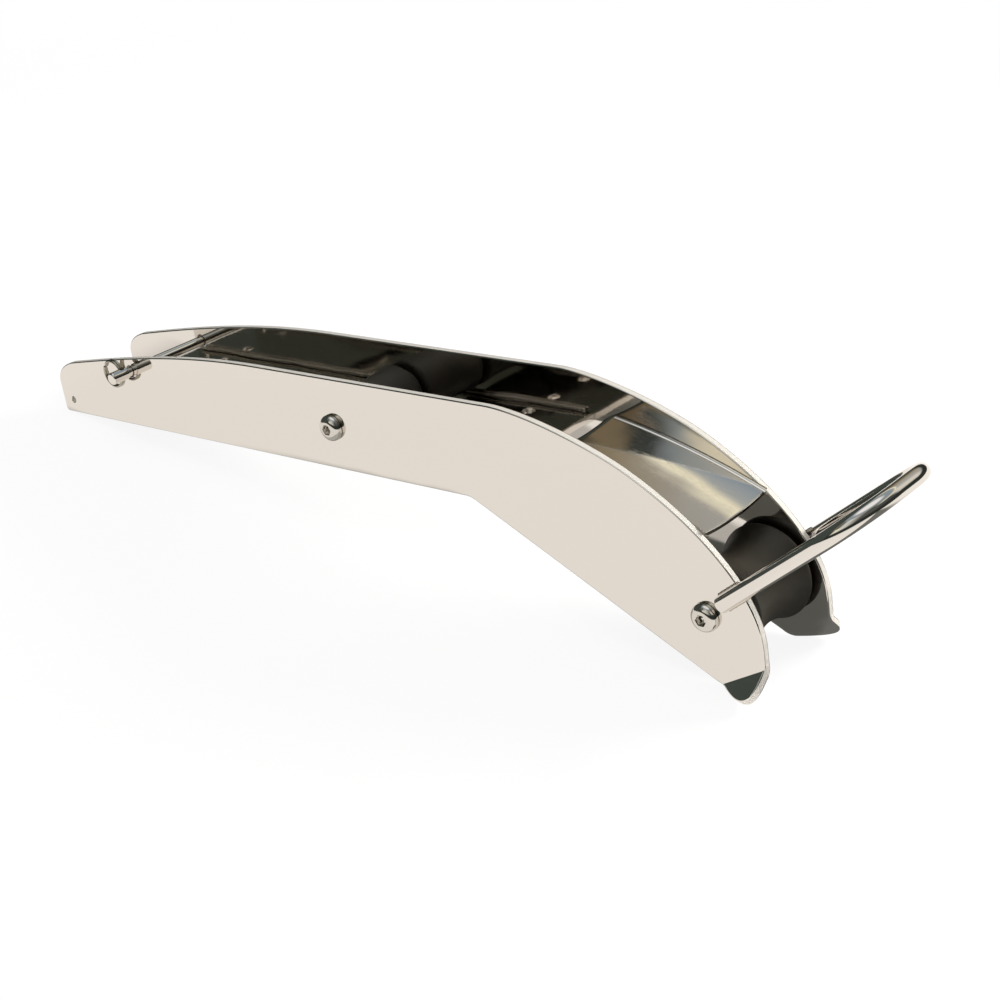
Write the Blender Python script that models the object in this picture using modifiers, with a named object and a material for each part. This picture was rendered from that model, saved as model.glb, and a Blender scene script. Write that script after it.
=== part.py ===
# Long bow roller for a sailing boat, in polished stainless plate.
# Two cheeks stand on a deck plate, a ramp joins them towards the nose, two rollers
# turn between them, a rod hoop guards the nose and a keeper pin closes the channel.
# +X runs to the nose, +Y to starboard, +Z up. The origin is the middle of the deck
# plate's underside. All sizes are in metres.

import math

import bmesh
import bpy
from mathutils import Vector

# Plate and channel
PLATE = 0.005
CHANNEL_WIDTH = 0.062
GAP = 0.0003

# Side outline of a cheek, measured from its rear edge and from the deck
NOSE_REACH = 0.6123
NOSE_LENGTH = 0.2038
NOSE_EDGE_TOP = -0.058
NOSE_PULL = 0.443
KINK = NOSE_REACH - NOSE_LENGTH
UNDERCUT_ANGLE = math.radians(26.2)
REAR_EDGE_HEIGHT = 0.023
REAR_CORNER_RUN = 0.020
REAR_CORNER_HEIGHT = 0.040
REAR_CORNER_PULL = 0.45
REAR_CORNER_SAG = 0.0028
FOOT_RADIUS = 0.003
FOOT_PULL = 0.45
CHEEK_HEIGHT = 0.062
CROWN_START = 0.230
CROWN_PULL = 0.35
CROWN_RISE = 0.57
SHOULDER = KINK + 0.0215
SHOULDER_PULL = 0.24
BROW = NOSE_REACH - 0.0849
BROW_HEIGHT = 0.0368
BROW_SLOPE = 0.47
BROW_PULL = 0.31
BROW_FALL_SLOPE = 0.49
BROW_FALL_PULL = 0.42

# Flared lip at the foot of the nose
LIP_REAR = NOSE_REACH - 0.0346
LIP_FRONT_DROP = -0.0693
LIP_DEPTH = 0.0181
LIP_CREST_PLACE = 0.65
LIP_CREST_ROUND = 0.16
LIP_CORNER_PULL = 0.15
LIP_FLARE = math.radians(52)
LIP_BEND_RADIUS = 0.0065
LIP_BEND_STEPS = 4

# Holes through the cheeks
AXLE_FIT = 0.0003
SEIZING_HOLE_RADIUS = 0.0023
SEIZING_HOLE_X = 0.0117
SEIZING_HOLE_Z = 0.0100

# Deck plate and its bolt holes
DECK_THICK = 0.005
DECK_INSET = 0.004
DECK_END_SETBACK = 0.0045
DECK_LENGTH = KINK - DECK_INSET - DECK_END_SETBACK
DECK_HOLE_RADIUS = 0.0045
DECK_HOLE_SPREAD = 0.036
DECK_HOLE_END = 0.045
DECK_HOLE_ROWS = 3

# Ramp between the rollers
RAMP_THICK = 0.004
RAMP_REAR = NOSE_REACH - 0.1393
RAMP_REAR_HEIGHT = 0.0335
RAMP_FRONT = NOSE_REACH - 0.0363
RAMP_FRONT_HEIGHT = 0.0030
RAMP_RISE = 0.0030
RAMP_ROLL_RADIUS = 0.008
RAMP_ROLL_ANGLE = math.radians(70)
RAMP_STEPS = 12

# Rollers
FRONT_AXLE_X = NOSE_REACH - 0.0363
FRONT_AXLE_Z = -0.0435
FRONT_ROLLER_RADIUS = 0.0298
FRONT_ROLLER_WAIST = 0.0238
MID_AXLE_X = KINK - 0.113
MID_AXLE_Z = 0.0290
MID_ROLLER_RADIUS = 0.020
MID_ROLLER_WAIST = 0.0185
ROLLER_EDGE = 0.003
BUSH_WALL = 0.003
BUSH_RUNNING_FIT = 0.0003
THRUST_THICK = 0.002
THRUST_RIM = 0.006

# Axle bolts, button heads on the port side and lock nuts on the starboard side
BOLT_RADIUS = 0.005
HEAD_RADIUS = 0.00875
HEAD_HEIGHT = 0.0055
HEAD_RIM = 0.0011
SOCKET_FLATS = 0.006
SOCKET_DEPTH = 0.0032
SOCKET_RIM = 0.62
WASHER_RADIUS = 0.010
WASHER_THICK = 0.002
NUT_FLATS = 0.017
NUT_HEX_HEIGHT = 0.0075
NUT_COLLAR_HEIGHT = 0.0028
NUT_COLLAR_RADIUS = 0.0075
BOLT_TAIL = 0.0015

# Hoop of round rod, welded to the outside of both cheeks
HOOP_ROD_RADIUS = 0.005
HOOP_FOOT_X = NOSE_REACH - 0.0216
HOOP_FOOT_Z = -0.0305
HOOP_PITCH = math.radians(37)
HOOP_LEG = 0.082
HOOP_CORNER_RADIUS = 0.0326
HOOP_CORNER_STEPS = 9

# Weld beads
DECK_BEAD_RADIUS = 0.0015
HOOP_BEAD_RADIUS = 0.0010
HOOP_BEAD_LENGTH = 0.016
DECK_BEAD_INSET = 0.006
RAMP_BEAD_RADIUS = 0.0012
RAMP_BEAD_LIFT = 1.06
RAMP_BEAD_OVERRUN = 0.002
RAMP_TACK_RADIUS = 0.0019

# Keeper pin across the channel, with its pull ring and two detent balls
KEEPER_X = 0.091
KEEPER_Z = 0.0420
KEEPER_RADIUS = 0.0035
KEEPER_HOLE_FIT = 0.0007
KEEPER_TAIL = 0.0085
KEEPER_TAIL_ROUND = 0.003
KEEPER_HEAD_RADIUS = 0.0044
KEEPER_HEAD_START = 0.0035
KEEPER_HEAD_END = 0.017
KEEPER_HEAD_EDGE = 0.0012
RING_HOLE_RADIUS = 0.0023
RING_HOLE_REACH = 0.0072
RING_RADIUS = 0.0094
RING_WIRE = 0.0015
RING_WIDTH = 0.0032
RING_GROOVE = 0.0003
RING_CHAMFER = 0.0003
RING_OFFSET = 0.0005
BALL_RADIUS = 0.0016
BALL_PROUD = 0.0004
BALL_FIT = 0.0002
BALL_INSET = 0.0045

# Facets
ROUND_STEPS = 40
SMALL_STEPS = 24
CURVE_STEPS = 10
NOSE_STEPS = 12
FOOT_STEPS = 4
ROLL_STEPS = 6
RIM_STEPS = 4
WAIST_STEPS = 6
HEAD_STEPS = 6

HALF_CHANNEL = CHANNEL_WIDTH / 2
OUTER_FACE = HALF_CHANNEL + PLATE
REAR_X = -(DECK_INSET + DECK_LENGTH / 2)
PORT = -1
STARBOARD = 1


def along(distance):
    """World X of a distance measured forward from the cheeks' rear edge."""
    return REAR_X + distance


# Collections and materials

def clear_scene():
    for old in list(bpy.data.objects):
        bpy.data.objects.remove(old, do_unlink=True)


def make_collection(name):
    collection = bpy.data.collections.new(name)
    bpy.context.scene.collection.children.link(collection)
    return collection


def make_material(name, colour, roughness, metallic):
    material = bpy.data.materials.new(name)
    material.use_nodes = True
    shader = material.node_tree.nodes["Principled BSDF"]
    shader.inputs["Base Color"].default_value = (*colour, 1.0)
    shader.inputs["Roughness"].default_value = roughness
    shader.inputs["Metallic"].default_value = metallic
    return material


clear_scene()
PARTS = make_collection("bow_roller")
CUTTERS = make_collection("cutters")
POLISHED_STEEL = ("polished_steel", (0.80, 0.79, 0.77), 0.06, 1.0)
FASTENER_STEEL = ("fastener_steel", (0.72, 0.71, 0.68), 0.16, 1.0)
WELD_STEEL = ("weld_steel", (0.66, 0.64, 0.60), 0.32, 1.0)
BLACK_RUBBER = ("black_rubber", (0.030, 0.028, 0.025), 0.55, 0.0)
ACETAL = ("acetal", (0.055, 0.055, 0.055), 0.40, 0.0)


def finish_object(piece, name, finish):
    """Names a piece, gives it its own material and shades its round faces smooth."""
    piece.name = name
    piece.data.name = name
    label, colour, roughness, metallic = finish
    piece.data.materials.clear()
    piece.data.materials.append(make_material(name + "_" + label, colour, roughness, metallic))
    piece.data.shade_smooth()
    piece.data.set_sharp_from_angle(angle=math.radians(35))
    return piece


# Building helpers

def link_mesh(mesh):
    piece = bpy.data.objects.new(mesh.name, mesh)
    PARTS.objects.link(piece)
    return piece


def mesh_from_curve(curve, name):
    """Turns a curve into a closed mesh with its caps welded on."""
    holder = bpy.data.objects.new(name, curve)
    PARTS.objects.link(holder)
    bpy.context.view_layer.update()
    evaluated = holder.evaluated_get(bpy.context.evaluated_depsgraph_get())
    mesh = bpy.data.meshes.new_from_object(evaluated)
    bpy.data.objects.remove(holder, do_unlink=True)
    bpy.data.curves.remove(curve)
    work = bmesh.new()
    work.from_mesh(mesh)
    bmesh.ops.remove_doubles(work, verts=work.verts, dist=0.000005)
    bmesh.ops.recalc_face_normals(work, faces=work.faces)
    work.to_mesh(mesh)
    work.free()
    mesh.name = name
    return mesh


def circle_points(centre_x, centre_y, radius, steps=SMALL_STEPS):
    turns = [2 * math.pi * step / steps for step in range(steps)]
    return [(centre_x + radius * math.cos(a), centre_y + radius * math.sin(a)) for a in turns]


def add_outline(curve, points):
    spline = curve.splines.new("POLY")
    spline.points.add(len(points) - 1)
    for point, (x, y) in zip(spline.points, points):
        point.co = (x, y, 0.0, 1.0)
    spline.use_cyclic_u = True


def flat_mesh(name, outlines, thickness):
    """A flat plate in local XY from an outer outline and any holes."""
    curve = bpy.data.curves.new(name, "CURVE")
    curve.dimensions = "2D"
    curve.fill_mode = "BOTH"
    curve.extrude = thickness / 2
    for outline in outlines:
        add_outline(curve, outline)
    return mesh_from_curve(curve, name)


def rod_mesh(name, points, radius, steps=2):
    """A round rod along a list of points, with flat ends."""
    curve = bpy.data.curves.new(name, "CURVE")
    curve.dimensions = "3D"
    curve.bevel_depth = radius
    curve.bevel_resolution = steps
    curve.use_fill_caps = True
    spline = curve.splines.new("POLY")
    spline.points.add(len(points) - 1)
    for point, place in zip(spline.points, points):
        point.co = (*place, 1.0)
    return mesh_from_curve(curve, name)


def turned_piece(name, profile, closed=False, steps=ROUND_STEPS):
    """A turned solid: the (radius, height) profile spins round local Z, from the top down."""
    mesh = bpy.data.meshes.new(name)
    places = [(radius, 0.0, height) for radius, height in profile]
    edges = [(step, step + 1) for step in range(len(places) - 1)]
    if closed:
        edges.append((len(places) - 1, 0))
    mesh.from_pydata(places, edges, [])
    piece = link_mesh(mesh)
    screw = piece.modifiers.new("turn", "SCREW")
    screw.steps = steps
    screw.render_steps = steps
    screw.use_merge_vertices = True
    screw.merge_threshold = 0.000001
    screw.use_smooth_shade = True
    return piece


def across(piece, side, x, y, z):
    """Lays a turned piece along Y, with its top facing the given side."""
    piece.rotation_euler = (-side * math.pi / 2, 0.0, 0.0)
    piece.location = (x, y, z)
    return piece


def prism_mesh(name, flats, height, sides=6):
    """An upright prism on local Z = 0, measured across its flats."""
    work = bmesh.new()
    corner = flats / 2 / math.cos(math.pi / sides)
    bmesh.ops.create_cone(work, cap_ends=True, segments=sides, radius1=corner, radius2=corner, depth=height)
    bmesh.ops.translate(work, verts=work.verts, vec=(0.0, 0.0, height / 2))
    mesh = bpy.data.meshes.new(name)
    work.to_mesh(mesh)
    work.free()
    return mesh


def cutter(piece):
    piece.hide_render = True
    piece.display_type = "WIRE"
    for collection in list(piece.users_collection):
        collection.objects.unlink(piece)
    CUTTERS.objects.link(piece)
    return piece


def combine(piece, other, operation):
    boolean = piece.modifiers.new(operation.lower(), "BOOLEAN")
    boolean.operation = operation
    boolean.solver = "EXACT"
    boolean.object = cutter(other)
    return piece


def ball_mesh(name, radius, segments):
    """A sphere at the origin."""
    work = bmesh.new()
    bmesh.ops.create_uvsphere(work, u_segments=segments, v_segments=segments // 2, radius=radius)
    mesh = bpy.data.meshes.new(name)
    work.to_mesh(mesh)
    work.free()
    return mesh


# Side outline of the cheeks

def bezier(start, start_handle, end_handle, end, steps=CURVE_STEPS):
    """Points of a cubic curve, without its last one."""
    points = []
    for step in range(steps):
        t = step / steps
        weights = ((1 - t) ** 3, 3 * t * (1 - t) ** 2, 3 * t * t * (1 - t), t ** 3)
        places = (start, start_handle, end_handle, end)
        points.append(tuple(sum(w * p[axis] for w, p in zip(weights, places)) for axis in (0, 1)))
    return points


def undercut_height(distance):
    return -(distance - KINK) * math.tan(UNDERCUT_ANGLE)


def lip_axes():
    """Start, direction and outward normal of the lip's bend line, in the cheek's plane."""
    start = Vector((LIP_REAR, undercut_height(LIP_REAR)))
    end = Vector((NOSE_REACH, LIP_FRONT_DROP))
    run = end - start
    direction = run.normalized()
    return start, end, direction, Vector((direction.y, -direction.x))


def cheek_outline():
    """Flat pattern of a cheek, with the lip not yet bent, as (distance, height) points."""
    rear_reach = CROWN_PULL * (CROWN_START - REAR_CORNER_RUN)
    foot = FOOT_RADIUS * FOOT_PULL
    points = bezier((FOOT_RADIUS, 0.0), (foot, 0.0), (0.0, foot), (0.0, FOOT_RADIUS), FOOT_STEPS)
    points += bezier((0.0, REAR_EDGE_HEIGHT),
                     (0.0, 0.5 * (REAR_EDGE_HEIGHT + REAR_CORNER_HEIGHT)),
                     (REAR_CORNER_PULL * REAR_CORNER_RUN, REAR_CORNER_HEIGHT - REAR_CORNER_SAG),
                     (REAR_CORNER_RUN, REAR_CORNER_HEIGHT))
    points += bezier((REAR_CORNER_RUN, REAR_CORNER_HEIGHT),
                     (REAR_CORNER_RUN + rear_reach,
                      REAR_CORNER_HEIGHT + CROWN_RISE * (CHEEK_HEIGHT - REAR_CORNER_HEIGHT)),
                     (CROWN_START - rear_reach, CHEEK_HEIGHT),
                     (CROWN_START, CHEEK_HEIGHT))
    fall = BROW - SHOULDER
    points += [(CROWN_START, CHEEK_HEIGHT)]
    points += bezier((SHOULDER, CHEEK_HEIGHT),
                     (SHOULDER + SHOULDER_PULL * fall, CHEEK_HEIGHT),
                     (BROW - BROW_PULL * fall, BROW_HEIGHT + BROW_PULL * fall * BROW_SLOPE),
                     (BROW, BROW_HEIGHT))
    nose_reach = BROW_FALL_PULL * (NOSE_REACH - BROW)
    drop = BROW_HEIGHT - NOSE_EDGE_TOP
    points += bezier((BROW, BROW_HEIGHT),
                     (BROW + nose_reach, BROW_HEIGHT - nose_reach * BROW_FALL_SLOPE),
                     (NOSE_REACH, NOSE_EDGE_TOP + NOSE_PULL * drop),
                     (NOSE_REACH, NOSE_EDGE_TOP), NOSE_STEPS)
    points += [(NOSE_REACH, NOSE_EDGE_TOP)]
    start, end, direction, outward = lip_axes()
    width = (end - start).length
    crest = start + direction * (LIP_CREST_PLACE * width) + outward * LIP_DEPTH
    pull = LIP_CORNER_PULL * LIP_DEPTH
    front_pull = end + Vector((0.0, -pull))
    rear_pull = start + Vector((math.cos(UNDERCUT_ANGLE), -math.sin(UNDERCUT_ANGLE))) * pull
    round_off = direction * (LIP_CREST_ROUND * width)
    points += bezier(end, front_pull, crest + round_off, crest)
    points += bezier(crest, crest - round_off, rear_pull, start)
    points += [tuple(start), (KINK, 0.0)]
    return points


def bend_lip(mesh, side):
    """Bends everything beyond the lip's bend line outward, round a small radius."""
    start, end, direction, outward = lip_axes()
    arc = LIP_BEND_RADIUS * LIP_FLARE
    work = bmesh.new()
    work.from_mesh(mesh)
    normal = Vector((outward.x, outward.y, 0.0))
    for step in range(LIP_BEND_STEPS + 1):
        offset = arc * (step / LIP_BEND_STEPS - 0.5)
        place = Vector((start.x + REAR_X, start.y, 0.0)) + normal * offset
        parts = list(work.verts) + list(work.edges) + list(work.faces)
        bmesh.ops.bisect_plane(work, geom=parts, dist=0.0000001, plane_co=place, plane_no=normal)
    for vertex in work.verts:
        flat = Vector((vertex.co.x - REAR_X, vertex.co.y)) - start
        reach = flat.dot(outward) + arc / 2
        if reach <= 0.0 or vertex.co.x < REAR_X + KINK:
            continue
        turn = min(reach / LIP_BEND_RADIUS, LIP_FLARE)
        rest = max(reach - arc, 0.0)
        height = vertex.co.z * -side
        forward = LIP_BEND_RADIUS * math.sin(turn) + rest * math.cos(turn) - height * math.sin(turn)
        outwards = LIP_BEND_RADIUS * (1 - math.cos(turn)) + rest * math.sin(turn) + height * math.cos(turn)
        place = start + direction * flat.dot(direction) + outward * (forward - arc / 2)
        vertex.co = (place.x + REAR_X, place.y, outwards * -side)
    bmesh.ops.triangulate(work, faces=work.faces)
    work.to_mesh(mesh)
    work.free()


def cheek(name, side):
    outline = [(along(x), z) for x, z in cheek_outline()]
    axle_hole = BOLT_RADIUS + AXLE_FIT
    holes = [
        circle_points(along(FRONT_AXLE_X), FRONT_AXLE_Z, axle_hole),
        circle_points(along(MID_AXLE_X), MID_AXLE_Z, axle_hole),
        circle_points(along(KEEPER_X), KEEPER_Z, KEEPER_RADIUS + KEEPER_HOLE_FIT),
        circle_points(along(SEIZING_HOLE_X), SEIZING_HOLE_Z, SEIZING_HOLE_RADIUS, 20),
    ]
    mesh = flat_mesh(name, [outline] + holes, PLATE)
    bend_lip(mesh, side)
    piece = link_mesh(mesh)
    piece.rotation_euler = (math.pi / 2, 0.0, 0.0)
    piece.location = (0.0, side * (HALF_CHANNEL + PLATE / 2), 0.0)
    return finish_object(piece, name, POLISHED_STEEL)


# Deck plate

def deck_plate():
    half_length = DECK_LENGTH / 2
    half_width = HALF_CHANNEL - GAP
    corners = [(-half_length, -half_width), (half_length, -half_width),
               (half_length, half_width), (-half_length, half_width)]
    holes = []
    run = (DECK_LENGTH - 2 * DECK_HOLE_END) / (DECK_HOLE_ROWS - 1)
    for row in range(DECK_HOLE_ROWS):
        x = (row - (DECK_HOLE_ROWS - 1) / 2) * run
        for side in (PORT, STARBOARD):
            holes.append(circle_points(x, side * DECK_HOLE_SPREAD / 2, DECK_HOLE_RADIUS))
    piece = link_mesh(flat_mesh("deck_plate", [corners] + holes, DECK_THICK))
    piece.location = (0.0, 0.0, DECK_THICK / 2)
    return finish_object(piece, "deck_plate", POLISHED_STEEL)


def deck_weld(name, side):
    """The bead in the corner between the deck plate and one cheek."""
    reach = side * (HALF_CHANNEL - GAP - DECK_BEAD_RADIUS)
    height = DECK_THICK + GAP + DECK_BEAD_RADIUS
    half_length = DECK_LENGTH / 2 - DECK_BEAD_INSET
    ends = [(-half_length, reach, height), (half_length, reach, height)]
    piece = link_mesh(rod_mesh(name, ends, DECK_BEAD_RADIUS))
    return finish_object(piece, name, WELD_STEEL)


# Ramp

def ramp_line(steps=RAMP_STEPS):
    """The ramp's upper face in side view, from the front edge back to the rolled rear edge."""
    front = Vector((RAMP_FRONT, RAMP_FRONT_HEIGHT))
    rear = Vector((RAMP_REAR, RAMP_REAR_HEIGHT))
    points = []
    for step in range(steps + 1):
        t = step / steps
        place = front.lerp(rear, t)
        place.y += RAMP_RISE * 4 * t * (1 - t)
        points.append(place)
    return points


def ramp_outline():
    upper = ramp_line()
    back = (upper[-1] - upper[-2]).normalized()
    down = Vector((back.y, -back.x)) if back.x > 0 else Vector((-back.y, back.x))
    centre = upper[-1] + down * RAMP_ROLL_RADIUS
    roll_upper = []
    roll_lower = []
    for step in range(1, ROLL_STEPS + 1):
        turn = RAMP_ROLL_ANGLE * step / ROLL_STEPS
        spoke = -down * math.cos(turn) + back * math.sin(turn)
        roll_upper.append(centre + spoke * RAMP_ROLL_RADIUS)
        roll_lower.append(centre + spoke * (RAMP_ROLL_RADIUS - RAMP_THICK))
    lower = []
    for index, place in enumerate(upper):
        before = upper[max(index - 1, 0)]
        after = upper[min(index + 1, len(upper) - 1)]
        run = (after - before).normalized()
        side = Vector((-run.y, run.x))
        lower.append(place + side * RAMP_THICK)
    loop = upper + roll_upper + roll_lower[::-1] + lower[::-1]
    return [(along(place.x), place.y) for place in loop]


def nose_ramp():
    mesh = flat_mesh("nose_ramp", [ramp_outline()], CHANNEL_WIDTH - 2 * GAP)
    piece = link_mesh(mesh)
    piece.rotation_euler = (math.pi / 2, 0.0, 0.0)
    return finish_object(piece, "nose_ramp", POLISHED_STEEL)


def ramp_weld(name, side):
    """The fine bead along one side of the ramp and over its front edge, with a thicker tack at each end."""
    line = ramp_line()
    line.insert(0, line[0] + (line[0] - line[1]).normalized() * RAMP_BEAD_OVERRUN)
    lift = (RAMP_BEAD_RADIUS + GAP) * RAMP_BEAD_LIFT
    reach = side * (HALF_CHANNEL - GAP - RAMP_BEAD_RADIUS)
    piece = link_mesh(rod_mesh(name, [(along(p.x), reach, p.y + lift) for p in line], RAMP_BEAD_RADIUS))
    for place in (line[0], line[-1]):
        tack = link_mesh(ball_mesh(name + "_tack", RAMP_TACK_RADIUS, 12))
        tack.location = (along(place.x),
                         side * (HALF_CHANNEL - GAP - RAMP_TACK_RADIUS),
                         place.y + RAMP_TACK_RADIUS + GAP)
        combine(piece, tack, "UNION")
    return finish_object(piece, name, WELD_STEEL)


# Rollers and what carries them

def roller(name, radius, waist, x, z):
    """A roller with rounded rims that narrows to its waist, bored for its bush."""
    half = HALF_CHANNEL - THRUST_THICK - 3 * GAP
    bore = BOLT_RADIUS + AXLE_FIT + BUSH_WALL + BUSH_RUNNING_FIT
    crown = radius - ROLLER_EDGE
    reach = half - ROLLER_EDGE
    profile = [(bore, half)]
    for step in range(RIM_STEPS + 1):
        turn = math.pi / 2 * step / RIM_STEPS
        profile.append((crown + ROLLER_EDGE * math.sin(turn), reach + ROLLER_EDGE * math.cos(turn)))
    for step in range(1, WAIST_STEPS):
        t = 1 - 2 * step / WAIST_STEPS
        profile.append((waist + (radius - waist) * t * t, reach * t))
    for step in range(RIM_STEPS + 1):
        turn = math.pi / 2 * step / RIM_STEPS
        profile.append((crown + ROLLER_EDGE * math.cos(turn), -reach - ROLLER_EDGE * math.sin(turn)))
    profile.append((bore, -half))
    piece = turned_piece(name, profile, closed=True)
    across(piece, STARBOARD, along(x), 0.0, z)
    return finish_object(piece, name, BLACK_RUBBER)


def ring_profile(inner, outer, low, high):
    return [(inner, high), (outer, high), (outer, low), (inner, low)]


def bush(name, x, z):
    inner = BOLT_RADIUS + AXLE_FIT
    half = HALF_CHANNEL - GAP
    piece = turned_piece(name, ring_profile(inner, inner + BUSH_WALL, -half, half), closed=True)
    across(piece, STARBOARD, along(x), 0.0, z)
    return finish_object(piece, name, FASTENER_STEEL)


def thrust_washer(name, side, x, z):
    """The plastic washer between one end of a roller and its cheek."""
    inner = BOLT_RADIUS + AXLE_FIT + BUSH_WALL + GAP
    low = HALF_CHANNEL - GAP - THRUST_THICK
    profile = ring_profile(inner, inner + THRUST_RIM, low, low + THRUST_THICK)
    piece = turned_piece(name, profile, closed=True)
    across(piece, side, along(x), 0.0, z)
    return finish_object(piece, name, ACETAL)


def axle_bolt(name, x, z):
    """A button-head bolt through both cheeks, head to port, with a hex socket."""
    seat = OUTER_FACE + GAP
    tail = -(seat + WASHER_THICK + 2 * GAP + NUT_HEX_HEIGHT + NUT_COLLAR_HEIGHT + BOLT_TAIL)
    crown = HEAD_HEIGHT - HEAD_RIM
    flat = SOCKET_FLATS * SOCKET_RIM
    profile = [(0.0, seat + HEAD_HEIGHT), (flat, seat + HEAD_HEIGHT)]
    for step in range(1, HEAD_STEPS + 1):
        turn = math.pi / 2 * step / HEAD_STEPS
        profile.append((flat + (HEAD_RADIUS - flat) * math.sin(turn), seat + HEAD_RIM + crown * math.cos(turn)))
    profile += [(HEAD_RADIUS - 0.0003, seat), (BOLT_RADIUS, seat)]
    profile += [(BOLT_RADIUS, tail + 0.001), (BOLT_RADIUS - 0.001, tail), (0.0, tail)]
    piece = turned_piece(name, profile, steps=SMALL_STEPS)
    socket = link_mesh(prism_mesh(name + "_socket", SOCKET_FLATS, SOCKET_DEPTH + 0.002))
    socket_base = seat + HEAD_HEIGHT - SOCKET_DEPTH
    across(socket, PORT, along(x), -socket_base, z)
    across(piece, PORT, along(x), 0.0, z)
    combine(piece, socket, "DIFFERENCE")
    return finish_object(piece, name, FASTENER_STEEL)


def axle_washer(name, x, z):
    inner = BOLT_RADIUS + AXLE_FIT
    low = OUTER_FACE + GAP
    piece = turned_piece(name, ring_profile(inner, WASHER_RADIUS, low, low + WASHER_THICK), closed=True)
    across(piece, STARBOARD, along(x), 0.0, z)
    return finish_object(piece, name, FASTENER_STEEL)


def lock_nut(name, x, z):
    """A hex nut with a round locking collar, bored for the bolt."""
    low = OUTER_FACE + 2 * GAP + WASHER_THICK
    hexagon = link_mesh(prism_mesh(name, NUT_FLATS, NUT_HEX_HEIGHT))
    across(hexagon, STARBOARD, along(x), low, z)
    collar_low = low + NUT_HEX_HEIGHT - 0.001
    collar_high = low + NUT_HEX_HEIGHT + NUT_COLLAR_HEIGHT
    collar_profile = [(0.0, collar_high), (NUT_COLLAR_RADIUS - 0.001, collar_high),
                      (NUT_COLLAR_RADIUS, collar_high - 0.0012), (NUT_COLLAR_RADIUS, collar_low),
                      (0.0, collar_low)]
    collar = turned_piece(name + "_collar", collar_profile, steps=SMALL_STEPS)
    across(collar, STARBOARD, along(x), 0.0, z)
    bore = BOLT_RADIUS + AXLE_FIT
    drill_profile = [(0.0, collar_high + 0.001), (bore, collar_high + 0.001), (bore, low - 0.001), (0.0, low - 0.001)]
    drill = turned_piece(name + "_bore", drill_profile, steps=SMALL_STEPS)
    across(drill, STARBOARD, along(x), 0.0, z)
    combine(hexagon, collar, "UNION")
    combine(hexagon, drill, "DIFFERENCE")
    return finish_object(hexagon, name, FASTENER_STEEL)


# Hoop

def hoop_place(reach, y):
    """A point of the hoop's plane: reach up its legs, and y across the boat."""
    return (along(HOOP_FOOT_X) + reach * math.cos(HOOP_PITCH), y, HOOP_FOOT_Z + reach * math.sin(HOOP_PITCH))


def hoop():
    offset = OUTER_FACE + GAP + HOOP_ROD_RADIUS
    legs = 8
    path = [hoop_place(HOOP_LEG * step / legs, -offset) for step in range(legs)]
    for step in range(HOOP_CORNER_STEPS + 1):
        turn = math.pi / 2 * step / HOOP_CORNER_STEPS
        reach = HOOP_LEG + HOOP_CORNER_RADIUS * math.sin(turn)
        path.append(hoop_place(reach, -offset + HOOP_CORNER_RADIUS * (1 - math.cos(turn))))
    path += [(x, -y, z) for x, y, z in reversed(path)]
    piece = link_mesh(rod_mesh("hoop", path, HOOP_ROD_RADIUS, 3))
    return finish_object(piece, "hoop", POLISHED_STEEL)


def hoop_weld(name, side, edge):
    """The bead along one edge of a hoop foot, where it lies on the cheek."""
    drop = HOOP_ROD_RADIUS - HOOP_BEAD_RADIUS
    spread = edge * math.sqrt((HOOP_ROD_RADIUS + HOOP_BEAD_RADIUS + GAP) ** 2 - drop ** 2)
    y = side * (OUTER_FACE + GAP + HOOP_BEAD_RADIUS)
    ends = []
    for reach in (0.0, HOOP_BEAD_LENGTH):
        x, _, z = hoop_place(reach, y)
        ends.append((x - spread * math.sin(HOOP_PITCH), y, z + spread * math.cos(HOOP_PITCH)))
    piece = link_mesh(rod_mesh(name, ends, HOOP_BEAD_RADIUS))
    return finish_object(piece, name, WELD_STEEL)


# Keeper pin

def keeper_empty():
    """The frame that the pin, its ring and its balls slide with."""
    frame = bpy.data.objects.new("keeper_frame", None)
    PARTS.objects.link(frame)
    frame.location = (along(KEEPER_X), 0.0, KEEPER_Z)
    return frame


def keeper_drill(name, y, radius):
    """An upright drill through the pin."""
    profile = [(0.0, 0.01), (radius, 0.01), (radius, -0.01), (0.0, -0.01)]
    drill = turned_piece(name, profile, steps=20)
    drill.location = (along(KEEPER_X), y, KEEPER_Z)
    return drill


def keeper_pin(frame):
    """The pin: its thicker head to port, cross bored for the ring, its rounded tail to starboard."""
    tail = OUTER_FACE + KEEPER_TAIL
    head_start = -(OUTER_FACE + KEEPER_HEAD_START)
    head_end = -(OUTER_FACE + KEEPER_HEAD_END)
    profile = [(0.0, tail)]
    for step in range(1, RIM_STEPS + 1):
        turn = math.pi / 2 * step / RIM_STEPS
        fall = KEEPER_TAIL_ROUND * (1 - math.cos(turn))
        profile.append((KEEPER_RADIUS * math.sin(turn), tail - fall))
    profile += [(KEEPER_RADIUS, head_start), (KEEPER_HEAD_RADIUS, head_start)]
    for step in range(RIM_STEPS + 1):
        turn = math.pi / 2 * step / RIM_STEPS
        profile.append((KEEPER_HEAD_RADIUS - KEEPER_HEAD_EDGE * (1 - math.cos(turn)),
                        head_end + KEEPER_HEAD_EDGE * (1 - math.sin(turn))))
    profile.append((0.0, head_end))
    piece = turned_piece("keeper_pin", profile, steps=SMALL_STEPS)
    piece.rotation_euler = (-math.pi / 2, 0.0, 0.0)
    piece.parent = frame
    combine(piece, keeper_drill("ball_hole", tail - BALL_INSET, BALL_RADIUS + BALL_FIT), "DIFFERENCE")
    combine(piece, keeper_drill("ring_hole", -(OUTER_FACE + RING_HOLE_REACH), RING_HOLE_RADIUS), "DIFFERENCE")
    return finish_object(piece, "keeper_pin", POLISHED_STEEL)


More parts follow.
